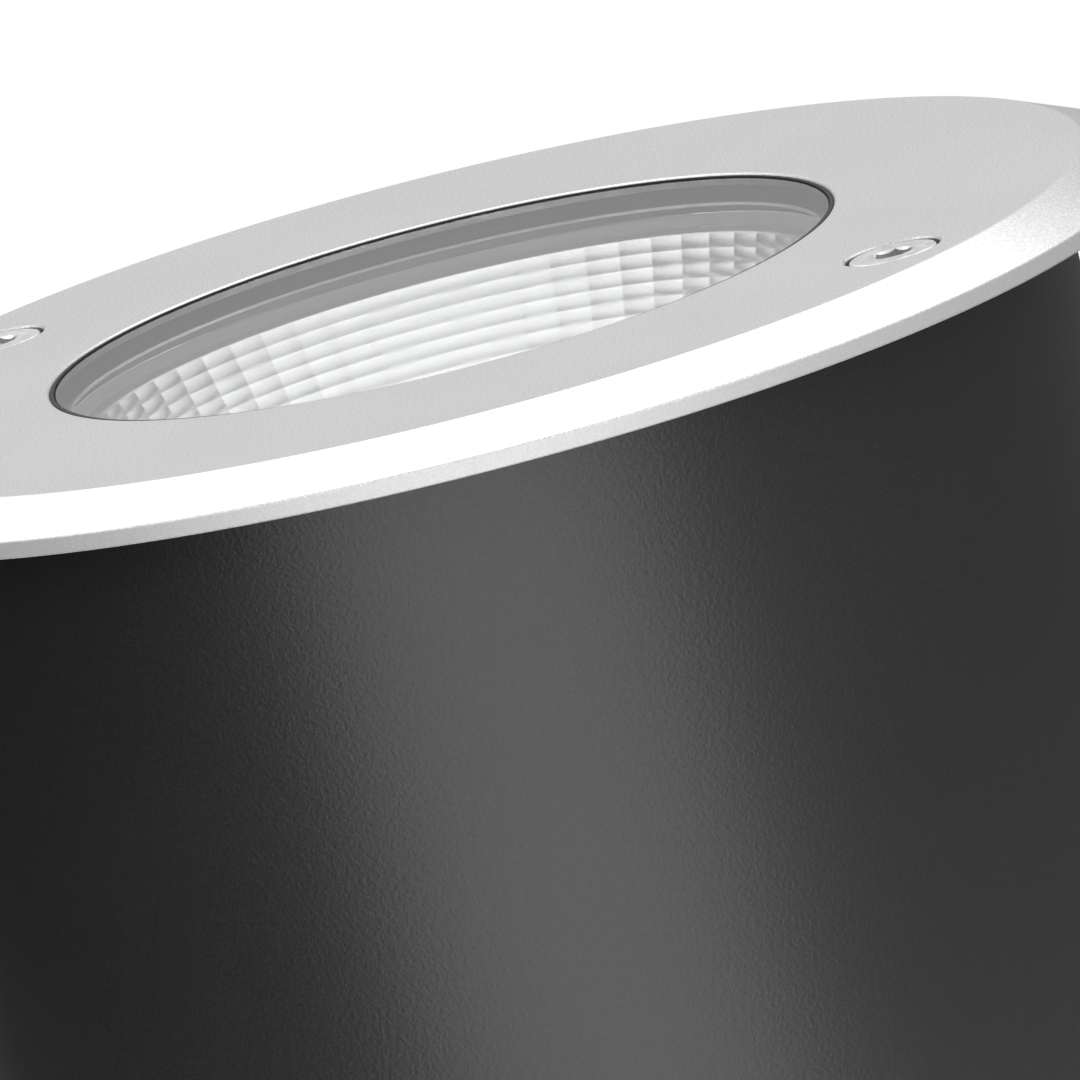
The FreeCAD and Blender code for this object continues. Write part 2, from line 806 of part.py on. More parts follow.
def driver_case():
    case = block(driver_length, driver_width, driver_bottom_z, driver_top_z, 0, driver_y)
    upright_edges = [e for e in case.Edges if abs(e.tangentAt(e.FirstParameter).z) > 0.9]
    return case.makeFillet(driver_edge_radius, upright_edges)


def driver_bracket():
    """Bent plate: a base under the driver and an upright that carries the terminal block."""
    length = 2 * (bracket_screw_x + bracket_post_radius)
    depth = 2 * bracket_post_radius
    strap = block(length, depth, bracket_z, driver_bottom_z, 0, driver_y)
    front_y = driver_y - bracket_post_radius
    back_y = upright_y + bracket_thickness
    middle_y = (front_y + back_y) / 2
    tongue = block(bracket_upright_width, back_y - front_y, bracket_z, driver_bottom_z, 0, middle_y)
    plate_y = upright_y + bracket_thickness / 2
    upright = block(bracket_upright_width, bracket_thickness, bracket_z, terminal_top_z, 0, plate_y)
    holes = [
        cylinder(bracket_screw_radius + fit_gap, bracket_z, driver_bottom_z, x, driver_y)
        for x in bracket_screw_places
    ]
    return strap.multiFuse([tongue, upright]).cut(joined(holes)).removeSplitter()


def bracket_screws():
    return group([
        cap_screw(
            x, driver_y, driver_bottom_z, bracket_screw_radius, bracket_screw_length,
            bracket_screw_head_radius, bracket_screw_head_height, small_key,
        )
        for x in bracket_screw_places
    ])


def terminal_places():
    middle = (terminal_poles - 1) / 2
    return [(k - middle) * terminal_pitch for k in range(terminal_poles)]


def terminal_block():
    """Barrier block: wire entries above and below, screw wells in the outer face."""
    width = terminal_poles * terminal_pitch
    body = block(width, terminal_depth, terminal_bottom_z, terminal_top_z, 0, terminal_y)
    far = terminal_face_y + terminal_depth
    groove_y = far - terminal_groove_depth / 2
    cuts = []
    for x in terminal_places():
        low_end = terminal_bottom_z + terminal_entry_depth
        high_start = terminal_top_z - terminal_entry_depth
        cuts.append(cylinder(terminal_entry_radius, terminal_bottom_z, low_end, x, terminal_y))
        cuts.append(cylinder(terminal_entry_radius, high_start, terminal_top_z, x, terminal_y))
        cuts.append(rod_y(terminal_screw_radius, far - terminal_well_depth, far, x, terminal_screw_z()))
    for x in terminal_places()[:-1]:
        cuts.append(block(
            terminal_groove_width, terminal_groove_depth, terminal_bottom_z, terminal_top_z,
            x + terminal_pitch / 2, groove_y,
        ))
    return body.cut(joined(cuts))


def terminal_screw_z():
    return (terminal_bottom_z + terminal_top_z) / 2


def terminal_screws():
    """Slotted clamp screws at the bottom of their wells."""
    near = terminal_face_y + terminal_depth - terminal_well_depth
    head = near + terminal_screw_length
    screws = []
    for x in terminal_places():
        slot = Part.makeBox(
            2 * terminal_screw_radius,
            terminal_slot,
            terminal_slot,
            Vector(x - terminal_screw_radius, head - terminal_slot, terminal_screw_z() - terminal_slot / 2),
        )
        screws.append(rod_y(terminal_screw_radius, near, head, x, terminal_screw_z()).cut(slot))
    return group(screws)


# Inner wires

def wire_path(points):
    """Straight runs joined by tangent arcs that take a share of the shorter run."""
    edges = []
    start = points[0]
    for before, corner, after in zip(points, points[1:], points[2:]):
        back = before - corner
        ahead = after - corner
        reach = lead_bend_share * min(back.Length, ahead.Length)
        back.normalize()
        ahead.normalize()
        entry = corner + back * reach
        leave = corner + ahead * reach
        half_turn = (math.pi - back.getAngle(ahead)) / 2
        radius = reach / math.tan(half_turn)
        middle_way = (back + ahead).normalize()
        middle = corner + middle_way * (radius / math.cos(half_turn) - radius)
        edges.append(Part.LineSegment(start, entry).toShape())
        edges.append(Part.Arc(entry, middle, leave).toShape())
        start = leave
    edges.append(Part.LineSegment(start, points[-1]).toShape())
    return Part.Wire(edges)


def wire(points):
    path = wire_path(points)
    way = points[1] - points[0]
    section = Part.Wire(Part.makeCircle(lead_radius, points[0], way))
    pipe = Part.BRepOffsetAPI.MakePipeShell(path)
    pipe.add(section)
    pipe.build()
    pipe.makeSolid()
    return pipe.shape()


def driver_leads():
    """Pair from the driver's top, over the bracket's upright, down into the outer poles."""
    crest_z = terminal_top_z + lead_loop_height
    return group([
        wire([
            Vector(x, driver_y + driver_width / 4, driver_top_z),
            Vector(x, driver_y + driver_width / 4, crest_z),
            Vector(x, terminal_y, crest_z),
            Vector(x, terminal_y, terminal_top_z - lead_insertion),
        ])
        for x in (terminal_places()[0], terminal_places()[-1])
    ])


def led_leads():
    """Pair from the driver's top, up through the grommet, into the side of the light source's holder."""
    leads = []
    for shift in lead_shifts:
        x = grommet_x + shift
        leads.append(wire([
            Vector(x, driver_y, driver_top_z),
            Vector(x, driver_y, driver_top_z + lead_rise),
            Vector(x, grommet_y, fin_bottom_z - lead_rise / 2),
            Vector(x, grommet_y, spreader_top_z + lead_rise),
            holder_entry(holder_radius + lead_rise / 2, shift),
            holder_entry(holder_radius - lead_insertion, shift),
        ]))
    return group(leads)


def holder_entry(radius, shift):
    """Point on the leads' line into the holder, on its grommet side."""
    turn = math.radians(grommet_turn)
    x = radius * math.cos(turn) - shift * math.sin(turn)
    y = radius * math.sin(turn) + shift * math.cos(turn)
    return Vector(x, y, spreader_top_z + holder_height / 2)


NODES = {
    "trim_ring": trim_ring,
    "glass": glass,
    "glass_seal": glass_seal,
    "glass_lower_seal": glass_lower_seal,
    "clamp_ring": clamp_ring,
    "clamp_screws": clamp_screws,
    "cover_o_ring": cover_o_ring,
    "trim_screw_right": lambda: trim_screw(screw_circle_radius),
    "trim_screw_left": lambda: trim_screw(-screw_circle_radius),
    "screw_retainer_right": lambda: screw_retainer(screw_circle_radius),
    "screw_retainer_left": lambda: screw_retainer(-screw_circle_radius),
    "housing": housing,
    "threaded_inserts": threaded_inserts,
    "gland_body": gland_body,
    "gland_washer": gland_washer,
    "gland_locknut": gland_locknut,
    "gland_insert": gland_insert,
    "gland_dome_nut": gland_dome_nut,
    "reflector": reflector,
    "reflector_standoffs": reflector_standoffs,
    "reflector_screws": reflector_screws,
    "thermal_pad": thermal_pad,
    "led_board": led_board,
    "led_emitter": led_emitter,
    "led_holder": led_holder,
    "led_holder_screws": led_holder_screws,
    "heat_spreader": heat_spreader,
    "spreader_screws": spreader_screws,
    "wire_grommet": wire_grommet,
    "driver_case": driver_case,
    "driver_bracket": driver_bracket,
    "bracket_screws": bracket_screws,
    "terminal_block": terminal_block,
    "terminal_screws": terminal_screws,
    "led_leads": led_leads,
    "driver_leads": driver_leads,
}


def main():
    os.makedirs("parts", exist_ok=True)
    for name, make in NODES.items():
        shape = make()
        if not shape.isValid() or not shape.Solids:
            raise RuntimeError("bad solid: " + name)
        shape.exportStep("parts/" + name + ".step")
        print(name, len(shape.Solids), round(shape.Volume, 1))


main()
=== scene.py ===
"""Looks of a round in-ground well light.

Finishes, softened edges, a pillow-faceted reflector and the studio. Lengths are in metres. The frame
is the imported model's: origin at the centre of the base, +Z up through the glass, trim screws on the
X axis, cable gland facing +Y.
"""

import math
import random

import bpy
from mathutils import Matrix, Vector


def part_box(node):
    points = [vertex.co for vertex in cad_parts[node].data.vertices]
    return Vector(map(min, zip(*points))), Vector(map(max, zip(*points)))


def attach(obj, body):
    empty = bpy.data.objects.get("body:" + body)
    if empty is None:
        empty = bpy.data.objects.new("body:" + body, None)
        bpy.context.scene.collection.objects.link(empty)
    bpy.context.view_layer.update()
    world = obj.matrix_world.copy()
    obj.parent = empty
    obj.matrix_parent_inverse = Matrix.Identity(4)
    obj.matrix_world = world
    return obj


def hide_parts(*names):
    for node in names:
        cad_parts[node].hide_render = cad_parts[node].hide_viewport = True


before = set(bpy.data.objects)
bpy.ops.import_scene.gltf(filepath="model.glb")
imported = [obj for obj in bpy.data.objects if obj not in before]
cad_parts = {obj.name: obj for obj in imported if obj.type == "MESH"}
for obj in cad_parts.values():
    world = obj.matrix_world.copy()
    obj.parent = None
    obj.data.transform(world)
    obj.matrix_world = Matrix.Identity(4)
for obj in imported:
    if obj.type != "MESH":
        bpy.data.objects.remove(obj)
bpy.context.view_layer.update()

MM = 0.001
TURN = 2 * math.pi

# The photograph's camera
AZIMUTH = math.radians(39.67)
ELEVATION = math.radians(10.863)
ROLL = math.radians(14.340)
IMAGE_SIDE = 1080
PIXELS_PER_TRIM_RADIUS = 726.34
GLASS_CENTRE_PIXEL = (441.04, 296.04)
CAMERA_DISTANCE = 5.6
CAMERA_RANGE = (0.1, 50)
SENSOR_WIDTH = 36.0                   # in millimetres, as Blender has it

# Levels and radii of the frame's nodes
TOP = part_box("trim_ring")[1].z
TRIM_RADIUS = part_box("trim_ring")[1].x
COLLAR_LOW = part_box("trim_ring")[0].z
HOUSING_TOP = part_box("housing")[1].z
BODY_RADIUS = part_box("housing")[1].x
GLASS_LOW, GLASS_TOP = (corner.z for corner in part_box("glass"))
GLASS_FLANGE_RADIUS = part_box("glass")[1].x
SEAL_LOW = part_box("glass_seal")[0].z
CLAMP_LOW, CLAMP_TOP = (corner.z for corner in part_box("clamp_ring"))
COLLAR_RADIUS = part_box("clamp_ring")[1].x
O_RING_LOW, O_RING_HIGH = (corner.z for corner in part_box("cover_o_ring"))
BOWL_LOW, BOWL_RIM = (corner.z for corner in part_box("reflector"))
BOWL_FLANGE_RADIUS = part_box("reflector")[1].x
SPREADER_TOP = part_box("led_holder")[0].z

# Sizes that the frame's boxes don't give
RIM = TOP - 5.2 * MM                  # underside of the trim's edge
RECESS = RIM + 1.0 * MM               # underside of the trim over the housing
RECESS_RADIUS = BODY_RADIUS + 0.3 * MM
APERTURE_RADIUS = 44.5 * MM
GLASS_RADIUS = 44.05 * MM
LIP_UNDER = TOP - 4.8 * MM            # underside of the trim's lip, on the seal
COLLAR_BORE = 49.85 * MM
MOUTH_RADIUS = 57.5 * MM              # the housing's bore round the trim's collar
SCREW_CIRCLE = 63.7 * MM
SCREW_SPOTS = ((SCREW_CIRCLE, 0), (-SCREW_CIRCLE, 0))
CLAMP_SCREW_CIRCLE = COLLAR_BORE + 2.4 * MM
GLAND_HEIGHT = 21.0 * MM
GLAND_FLATS = 24 * MM
GLAND_THREAD = 10 * MM
GLAND_CORE = 7.2 * MM                 # bore of the gland's body, filled by the rubber sleeve

# How the meshes are drawn
EDGE = 0.25 * MM                      # plain edges are softened by this
OVERCUT = 1.0 * MM                    # cutters reach this far past what they cut
NIL = 1e-7                            # lengths below this count as none
SHARP = 35                            # degrees between faces from which an edge stays sharp
SHARP_AFTER_CUT = 30
LONGEST_CURVE = 0.4                   # share of a side that the curve at a corner may take
CURVE_GUARD = 1.2                     # how far out the points beside a curve lie
STEEP = 0.3                           # upward part of a normal that parts walls from slopes


# Mesh helpers

def new_piece(name, points, faces, sharp=SHARP):
    mesh = bpy.data.meshes.new(name)
    mesh.from_pydata([tuple(p) for p in points], [], faces)
    mesh.update()
    mesh.polygons.foreach_set("use_smooth", [True] * len(mesh.polygons))
    mesh.set_sharp_from_angle(angle=math.radians(sharp))
    piece = bpy.data.objects.new(name, mesh)
    bpy.context.scene.collection.objects.link(piece)
    return piece


def softened(outline, radius=EDGE, steps=5, keep=()):
    """Outline of (radius, z) corners with each corner drawn as a small curve.

    Corners listed in keep stay as they are, and so do those on the axis. A point just before and
    after each curve keeps the shading of the flat stretches flat.
    """
    soft = []
    count = len(outline)
    for i, point in enumerate(outline):
        here = Vector(point)
        before = Vector(outline[i - 1]) - here
        after = Vector(outline[(i + 1) % count]) - here
        if i in keep or here.x < NIL:
            soft.append(here)
            continue
        reach = min(radius, LONGEST_CURVE * before.length, LONGEST_CURVE * after.length)
        start = here + before.normalized() * reach
        end = here + after.normalized() * reach
        soft.append(here + before.normalized() * reach * CURVE_GUARD)
        for k in range(steps + 1):
            t = k / steps
            soft.append(start * (1 - t) ** 2 + here * 2 * t * (1 - t) + end * t ** 2)
        soft.append(here + after.normalized() * reach * CURVE_GUARD)
    return soft


def lathe(name, outline, segments=360, centre=(0, 0), sharp=SHARP):
    """Closed outline of (radius, z) points turned about an upright axis, its faces outwards."""
    points = []
    faces = []
    count = len(outline)
    following = list(outline[1:]) + [outline[0]]
    area = sum(a[0] * b[1] - b[0] * a[1] for a, b in zip(outline, following))
    if area < 0:
        outline = outline[::-1]
    for s in range(segments):
        turn = TURN * s / segments
        for r, z in outline:
            points.append((centre[0] + r * math.cos(turn), centre[1] + r * math.sin(turn), z))
    for s in range(segments):
        n = (s + 1) % segments
        for i in range(count):
            j = (i + 1) % count
            if outline[i][0] < NIL and outline[j][0] < NIL:
                continue
            faces.append((s * count + i, n * count + i, n * count + j, s * count + j))
    piece = new_piece(name, points, faces, sharp)
    modifier = piece.modifiers.new("Weld", "WELD")
    modifier.merge_threshold = NIL
    bake(piece)
    return piece


def bake(piece):
    """Applies the piece's modifiers."""
    graph = bpy.context.evaluated_depsgraph_get()
    piece.data = bpy.data.meshes.new_from_object(piece.evaluated_get(graph))
    piece.modifiers.clear()


def combine(piece, other, operation):
    """Boolean of two pieces; the other one is used up."""
    modifier = piece.modifiers.new("Boolean", "BOOLEAN")
    modifier.operation = operation
    modifier.solver = "EXACT"
    modifier.object = other
    bake(piece)
    bpy.data.objects.remove(other)
    piece.data.polygons.foreach_set("use_smooth", [True] * len(piece.data.polygons))
    piece.data.set_sharp_from_angle(angle=math.radians(SHARP_AFTER_CUT))


def cut(piece, *cutters):
    for cutter in cutters:
        combine(piece, cutter, "DIFFERENCE")


def merged(name, parts):
    """One piece from several that don't touch or only pass through each other."""
    points = []
    faces = []
    for part in parts:
        start = len(points)
        points += [v.co.copy() for v in part.data.vertices]
        faces += [tuple(start + i for i in face.vertices) for face in part.data.polygons]
        bpy.data.objects.remove(part)
    return new_piece(name, points, faces, SHARP_AFTER_CUT)


def hexagon(name, flats, low, high, centre=(0, 0)):
    """Upright hexagonal prism."""
    corner = flats / math.sqrt(3)
    turns = [TURN * k / 6 for k in range(6)]
    ring = [(corner * math.cos(t) + centre[0], corner * math.sin(t) + centre[1]) for t in turns]
    points = [(x, y, z) for z in (low, high) for x, y in ring]
    sides = [(k, (k + 1) % 6, 6 + (k + 1) % 6, 6 + k) for k in range(6)]
    return new_piece(name, points, sides + [tuple(range(5, -1, -1)), tuple(range(6, 12))])


def place(piece, body, material, *nodes, slot):
    """Puts a finished piece on its body, in place of the nodes that it stands for."""
    piece.data.materials.clear()
    piece.data.materials.append(material)
    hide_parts(*nodes)
    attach(piece, body)


def add_material(piece, material, chosen):
    """Gives a second material to the faces that chosen(radius, face) picks."""
    piece.data.materials.append(material)
    for face in piece.data.polygons:
        if chosen(math.hypot(face.center.x, face.center.y), face):
            face.material_index = 1


# Materials

NOISE_RANGE = (0.3, 0.7)              # where nearly all values of a noise lie


def new_material(name, colour, metallic=0.0, roughness=0.5, **sockets):
    material = bpy.data.materials.new(name)
    material.use_nodes = True
    shader = material.node_tree.nodes["Principled BSDF"]
    shader.inputs["Base Color"].default_value = (*colour, 1)
    shader.inputs["Metallic"].default_value = metallic
    shader.inputs["Roughness"].default_value = roughness
    for socket, value in sockets.items():
        shader.inputs[socket.replace("_", " ")].default_value = value
    return material


def noise(material, scale, detail=2, roughness=0.5, stretch=(1, 1, 1), distortion=0.0):
    """Noise over the piece's own coordinates."""
    nodes = material.node_tree.nodes
    links = material.node_tree.links
    coordinates = nodes.new("ShaderNodeTexCoord")
    mapping = nodes.new("ShaderNodeMapping")
    texture = nodes.new("ShaderNodeTexNoise")
    mapping.inputs["Scale"].default_value = stretch
    texture.inputs["Scale"].default_value = scale
    texture.inputs["Detail"].default_value = detail
    texture.inputs["Roughness"].default_value = roughness
    texture.inputs["Distortion"].default_value = distortion
    links.new(coordinates.outputs["Object"], mapping.inputs["Vector"])
    links.new(mapping.outputs["Vector"], texture.inputs["Vector"])
    return texture.outputs["Fac"]


def span(material, value, low, high):
    """Maps a noise value to a range."""
    node = material.node_tree.nodes.new("ShaderNodeMapRange")
    node.inputs["From Min"].default_value, node.inputs["From Max"].default_value = NOISE_RANGE
    node.inputs["To Min"].default_value = low
    node.inputs["To Max"].default_value = high
    material.node_tree.links.new(value, node.inputs["Value"])
    return node.outputs["Result"]


def vary_roughness(material, value, low, high):
    shader = material.node_tree.nodes["Principled BSDF"]
    links = material.node_tree.links
    links.new(span(material, value, low, high), shader.inputs["Roughness"])


def vary_colour(material, value, dark, light):
    nodes = material.node_tree.nodes
    links = material.node_tree.links
    mix = nodes.new("ShaderNodeMix")
    mix.data_type = "RGBA"
    mix.inputs["A"].default_value = (*dark, 1)
    mix.inputs["B"].default_value = (*light, 1)
    links.new(span(material, value, 0, 1), mix.inputs["Factor"])
    links.new(mix.outputs["Result"], nodes["Principled BSDF"].inputs["Base Color"])


def bump(material, *layers):
    """Each layer is a height value with its strength and depth."""
    nodes = material.node_tree.nodes
    links = material.node_tree.links
    normal = None
    for value, strength, depth in layers:
        node = nodes.new("ShaderNodeBump")
        node.inputs["Strength"].default_value = strength
        node.inputs["Distance"].default_value = depth
        links.new(value, node.inputs["Height"])
        if normal:
            links.new(normal, node.inputs["Normal"])
        normal = node.outputs["Normal"]
    links.new(normal, nodes["Principled BSDF"].inputs["Normal"])


def blasted_steel(name, shade, metallic, roughness, contrast):
    """Stainless steel with a fine bead-blasted grain."""
    material = new_material(name, (shade, shade, shade), metallic, roughness)
    grain = noise(material, 3400, roughness=0.6)
    cloud = noise(material, 38, detail=3)
    dark, light = (1 - contrast) * shade, (1 + contrast) * shade
    vary_roughness(material, cloud, roughness - 0.01, roughness + 0.01)
    vary_colour(material, grain, (dark,) * 3, (light,) * 3)
    bump(material, (grain, 0.4, 0.03 * MM))
    return material


def turned_metal(name, colour, roughness):
    """Machined or plated metal with faint turning marks."""
    material = new_material(name, colour, 1.0, roughness)
    grain = noise(material, 900, detail=3, roughness=0.6, stretch=(1, 1, 6))
    cloud = noise(material, 120)
    vary_colour(material, cloud, tuple(0.86 * c for c in colour), colour)
    vary_roughness(material, grain, roughness * 0.8, roughness * 1.3)
    bump(material, (grain, 0.12, 0.03 * MM))
    return material


def powder_coat():
    """Black coat with a fine leather texture."""
    material = new_material("powder_coat", (0.008, 0.0078, 0.008), 0.0, 0.4,
                            Specular_IOR_Level=0.76, Specular_Tint=(1, 0.965, 1, 1))
    leather = noise(material, 1900, distortion=0.3)
    specks = noise(material, 3800, roughness=0.6)
    cloud = noise(material, 30)
    vary_colour(material, cloud, (0.007, 0.0068, 0.007), (0.0092, 0.009, 0.0092))
    vary_roughness(material, specks, 0.36, 0.45)
    bump(material, (leather, 0.6, 0.08 * MM), (specks, 0.2, 0.03 * MM))
    return material


def mirror_metal():
    """Bright reflector metal with a faint haze."""
    material = new_material("mirror_metal", (0.93, 0.93, 0.935), 1.0, 0.2)
    haze = noise(material, 260, detail=3)
    grain = noise(material, 4200)
    vary_roughness(material, haze, 0.17, 0.23)
    bump(material, (grain, 0.05, 0.01 * MM))
    return material


def clear_glass():
    material = new_material("clear_glass", (0.985, 0.995, 0.99), 0.0, 0.0,
                            Transmission_Weight=1.0, IOR=1.5)
    smear = noise(material, 22, detail=3, roughness=0.6)
    vary_roughness(material, smear, 0.0, 0.015)
    return material


def anodised():
    material = new_material("black_anodised", (0.035, 0.035, 0.036), 0.0, 0.35,
                            Specular_IOR_Level=0.6)
    grain = noise(material, 1500, detail=3, roughness=0.6, stretch=(1, 1, 5))
    vary_roughness(material, grain, 0.30, 0.42)
    vary_colour(material, grain, (0.030, 0.030, 0.031), (0.040, 0.040, 0.041))
    bump(material, (grain, 0.12, 0.03 * MM))
    return material


def rubber():
    material = new_material("rubber", (0.012, 0.012, 0.012), 0.0, 0.7, Specular_IOR_Level=0.3)
    grain = noise(material, 2600, detail=3, roughness=0.6)
    vary_roughness(material, grain, 0.6, 0.8)
    vary_colour(material, grain, (0.009, 0.009, 0.009), (0.018, 0.018, 0.018))
    bump(material, (grain, 0.2, 0.05 * MM))
    return material


def moulded(name, colour, roughness=0.45):
    """Moulded plastic or gel with a fine spark-eroded texture."""
    material = new_material(name, colour, 0.0, roughness)
    texture = noise(material, 2200, roughness=0.6)
    cloud = noise(material, 60)
    vary_colour(material, cloud, tuple(0.93 * c for c in colour), colour)
    vary_roughness(material, texture, roughness * 0.85, roughness * 1.2)
    bump(material, (texture, 0.15, 0.04 * MM))
    return material


STEEL = blasted_steel("blasted_steel", 0.55, 1.0, 0.36, 0.2)
# Upright edge of the trim: a rougher copy of the steel, made lighter and less metallic as painted
# light on that edge.
RIM_STEEL_PAINTED_LIGHT = blasted_steel("blasted_rim_painted_light", 0.61, 0.6, 0.55, 0.06)
SCREW = turned_metal("screw_steel", (0.74, 0.74, 0.735), 0.28)
ZINC = turned_metal("zinc_steel", (0.62, 0.63, 0.65), 0.34)
COAT = powder_coat()
MIRROR = mirror_metal()
GLASS = clear_glass()
RUBBER = rubber()
ALUMINIUM = turned_metal("satin_aluminium", (0.60, 0.60, 0.605), 0.38)
ANODISED = anodised()
# Bright metal band for the clamp ring's inner chamfer: a painted glint where the edge catches light.
CHAMFER_PAINTED_GLINT = turned_metal("chamfer_painted_glint", (0.52, 0.52, 0.52), 0.42)
BRASS = turned_metal("brass", (0.72, 0.52, 0.24), 0.3)
BLACK_PLASTIC = moulded("black_plastic", (0.018, 0.018, 0.018), 0.5)
WHITE_PLASTIC = moulded("white_plastic", (0.78, 0.78, 0.76))
GREY_PLASTIC = moulded("grey_plastic", (0.60, 0.60, 0.58))
CREAM_PLASTIC = moulded("cream_plastic", (0.72, 0.69, 0.60))
BOARD = moulded("white_board", (0.74, 0.74, 0.72), 0.3)
PHOSPHOR = moulded("phosphor", (0.86, 0.62, 0.07), 0.35)
PAD = moulded("grey_pad", (0.24, 0.27, 0.29), 0.7)
SHEATH = moulded("lead_sheath", (0.38, 0.02, 0.015), 0.4)

NODE_MATERIALS = {
    "glass_lower_seal": RUBBER,
    "screw_retainer_right": ZINC,
    "screw_retainer_left": ZINC,
    "threaded_inserts": BRASS,
    "gland_locknut": BLACK_PLASTIC,
    "reflector_standoffs": ALUMINIUM,
    "reflector_screws": ZINC,
    "thermal_pad": PAD,
    "led_board": BOARD,
    "led_holder_screws": ZINC,
    "heat_spreader": ALUMINIUM,
    "spreader_screws": ZINC,
    "wire_grommet": RUBBER,
    "driver_case": GREY_PLASTIC,
    "driver_bracket": ZINC,
    "bracket_screws": ZINC,
    "terminal_block": CREAM_PLASTIC,
    "terminal_screws": ZINC,
    "led_leads": SHEATH,
    "driver_leads": SHEATH,
}
for node, material in NODE_MATERIALS.items():
    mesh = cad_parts[node].data
    mesh.materials.clear()
    mesh.materials.append(material)


# Cover: trim ring, glass, seals, clamp ring and captive screws

def trim_ring():
    """Blasted ring with a bevelled shoulder, a rougher upright edge whose lighter, less metallic copy
    of the steel is painted light, and two counterbores.
    """
    aperture_chamfer = 0.3 * MM
    bevel_width = 7.2 * MM
    bevel_drop = 3.2 * MM
    groove_floor = MOUTH_RADIUS - 3.1 * MM
    groove_high = HOUSING_TOP - 1.0 * MM
    groove_low = groove_high - 3.6 * MM
    outline = [
        (APERTURE_RADIUS, TOP - aperture_chamfer),
        (APERTURE_RADIUS + aperture_chamfer, TOP),
        (TRIM_RADIUS - bevel_width, TOP),
        (TRIM_RADIUS, TOP - bevel_drop),
        (TRIM_RADIUS, RIM),
        (RECESS_RADIUS, RIM),
        (RECESS_RADIUS, RECESS),
        (COLLAR_RADIUS, RECESS),
        (COLLAR_RADIUS, groove_high),
        (groove_floor, groove_high),
        (groove_floor, groove_low),
        (COLLAR_RADIUS, groove_low),
        (COLLAR_RADIUS, COLLAR_LOW),
        (COLLAR_BORE, COLLAR_LOW),
        (COLLAR_BORE, LIP_UNDER),
        (APERTURE_RADIUS, LIP_UNDER),
    ]
    piece = lathe("trim_ring_surface", softened(outline), segments=480)
    seat = TOP - 3.65 * MM
    shank = 3.2 * MM
    bore = 5.4 * MM
    chamfer = 0.2 * MM
    under = RIM - OVERCUT
    above = TOP + OVERCUT
    hole = [
        (0, under),
        (shank, under),
        (shank, seat),
        (bore, seat),
        (bore, TOP - chamfer),
        (bore + chamfer, TOP),
        (bore + chamfer, above),
        (0, above),
    ]
    holes = [lathe("cutter", hole, segments=96, centre=spot) for spot in SCREW_SPOTS]
    cut(piece, merged("cutter", holes))
    place(piece, "cover", STEEL, "trim_ring", slot="trim_steel")
    # Faces of the upright edge take the lighter steel copy, which is painted light there.
    outer_wall = TRIM_RADIUS - EDGE
    add_material(piece, RIM_STEEL_PAINTED_LIGHT, lambda r, face: r > outer_wall and abs(face.normal.z) < STEEP)


def glass():
    edge = 0.3 * MM
    outline = [
        (0, GLASS_TOP),
        (GLASS_RADIUS, GLASS_TOP),
        (GLASS_RADIUS, SEAL_LOW),
        (GLASS_FLANGE_RADIUS, SEAL_LOW),
        (GLASS_FLANGE_RADIUS, GLASS_LOW),
        (0, GLASS_LOW),
    ]
    piece = lathe("glass_surface", softened(outline, edge, keep=(3, 4)))
    place(piece, "cover", GLASS, "glass", slot="clear_glass")


def glass_seal():
    """Black seal with a rounded bead between the glass and the trim."""
    bead_top = TOP - 0.15 * MM
    edge = 0.06 * MM
    outline = [
        (GLASS_RADIUS, bead_top),
        (APERTURE_RADIUS, bead_top),
        (APERTURE_RADIUS, LIP_UNDER),
        (GLASS_FLANGE_RADIUS, LIP_UNDER),
        (GLASS_FLANGE_RADIUS, SEAL_LOW),
        (GLASS_RADIUS, SEAL_LOW),
    ]
    piece = lathe("glass_seal_surface", softened(outline, edge))
    place(piece, "cover", RUBBER, "glass_seal", slot="black_rubber")


def clamp_ring():
    """Anodised ring under the glass: a bright metal band on the inner chamfer as a painted glint,
    sunk screw holes below.
    """
    bore = GLASS_RADIUS - 1.5 * MM
    chamfer = 0.32 * MM
    edge = 0.08 * MM
    outline = [
        (bore, CLAMP_LOW),
        (COLLAR_RADIUS, CLAMP_LOW),
        (COLLAR_RADIUS, CLAMP_TOP),
        (bore + chamfer, CLAMP_TOP),
        (bore, CLAMP_TOP - chamfer),
    ]
    piece = lathe("clamp_ring_surface", softened(outline, edge, steps=3))
    head = 2.9 * MM
    shank = 1.55 * MM
    cone_top = CLAMP_LOW + 1.3 * MM
    under = CLAMP_LOW - OVERCUT
    above = CLAMP_TOP + OVERCUT
    sunk = [
        (0, under),
        (head, under),
        (head, CLAMP_LOW),
        (shank, cone_top),
        (shank, above),
        (0, above),
    ]
    holes = [lathe("cutter", sunk, segments=32, centre=spot) for spot in clamp_screw_spots()]
    cut(piece, merged("cutter", holes))
    place(piece, "cover", ANODISED, "clamp_ring", slot="clamp_aluminium")
    # The top faces of the inner chamfer take the bright metal band, a painted glint.
    add_material(piece, CHAMFER_PAINTED_GLINT, lambda r, face: (
        r < bore + chamfer and abs(face.normal.z) > STEEP and face.center.z > CLAMP_TOP - chamfer))


def clamp_screw_spots():
    turns = [math.radians(30 + 60 * k) for k in range(6)]
    return [(CLAMP_SCREW_CIRCLE * math.cos(t), CLAMP_SCREW_CIRCLE * math.sin(t)) for t in turns]


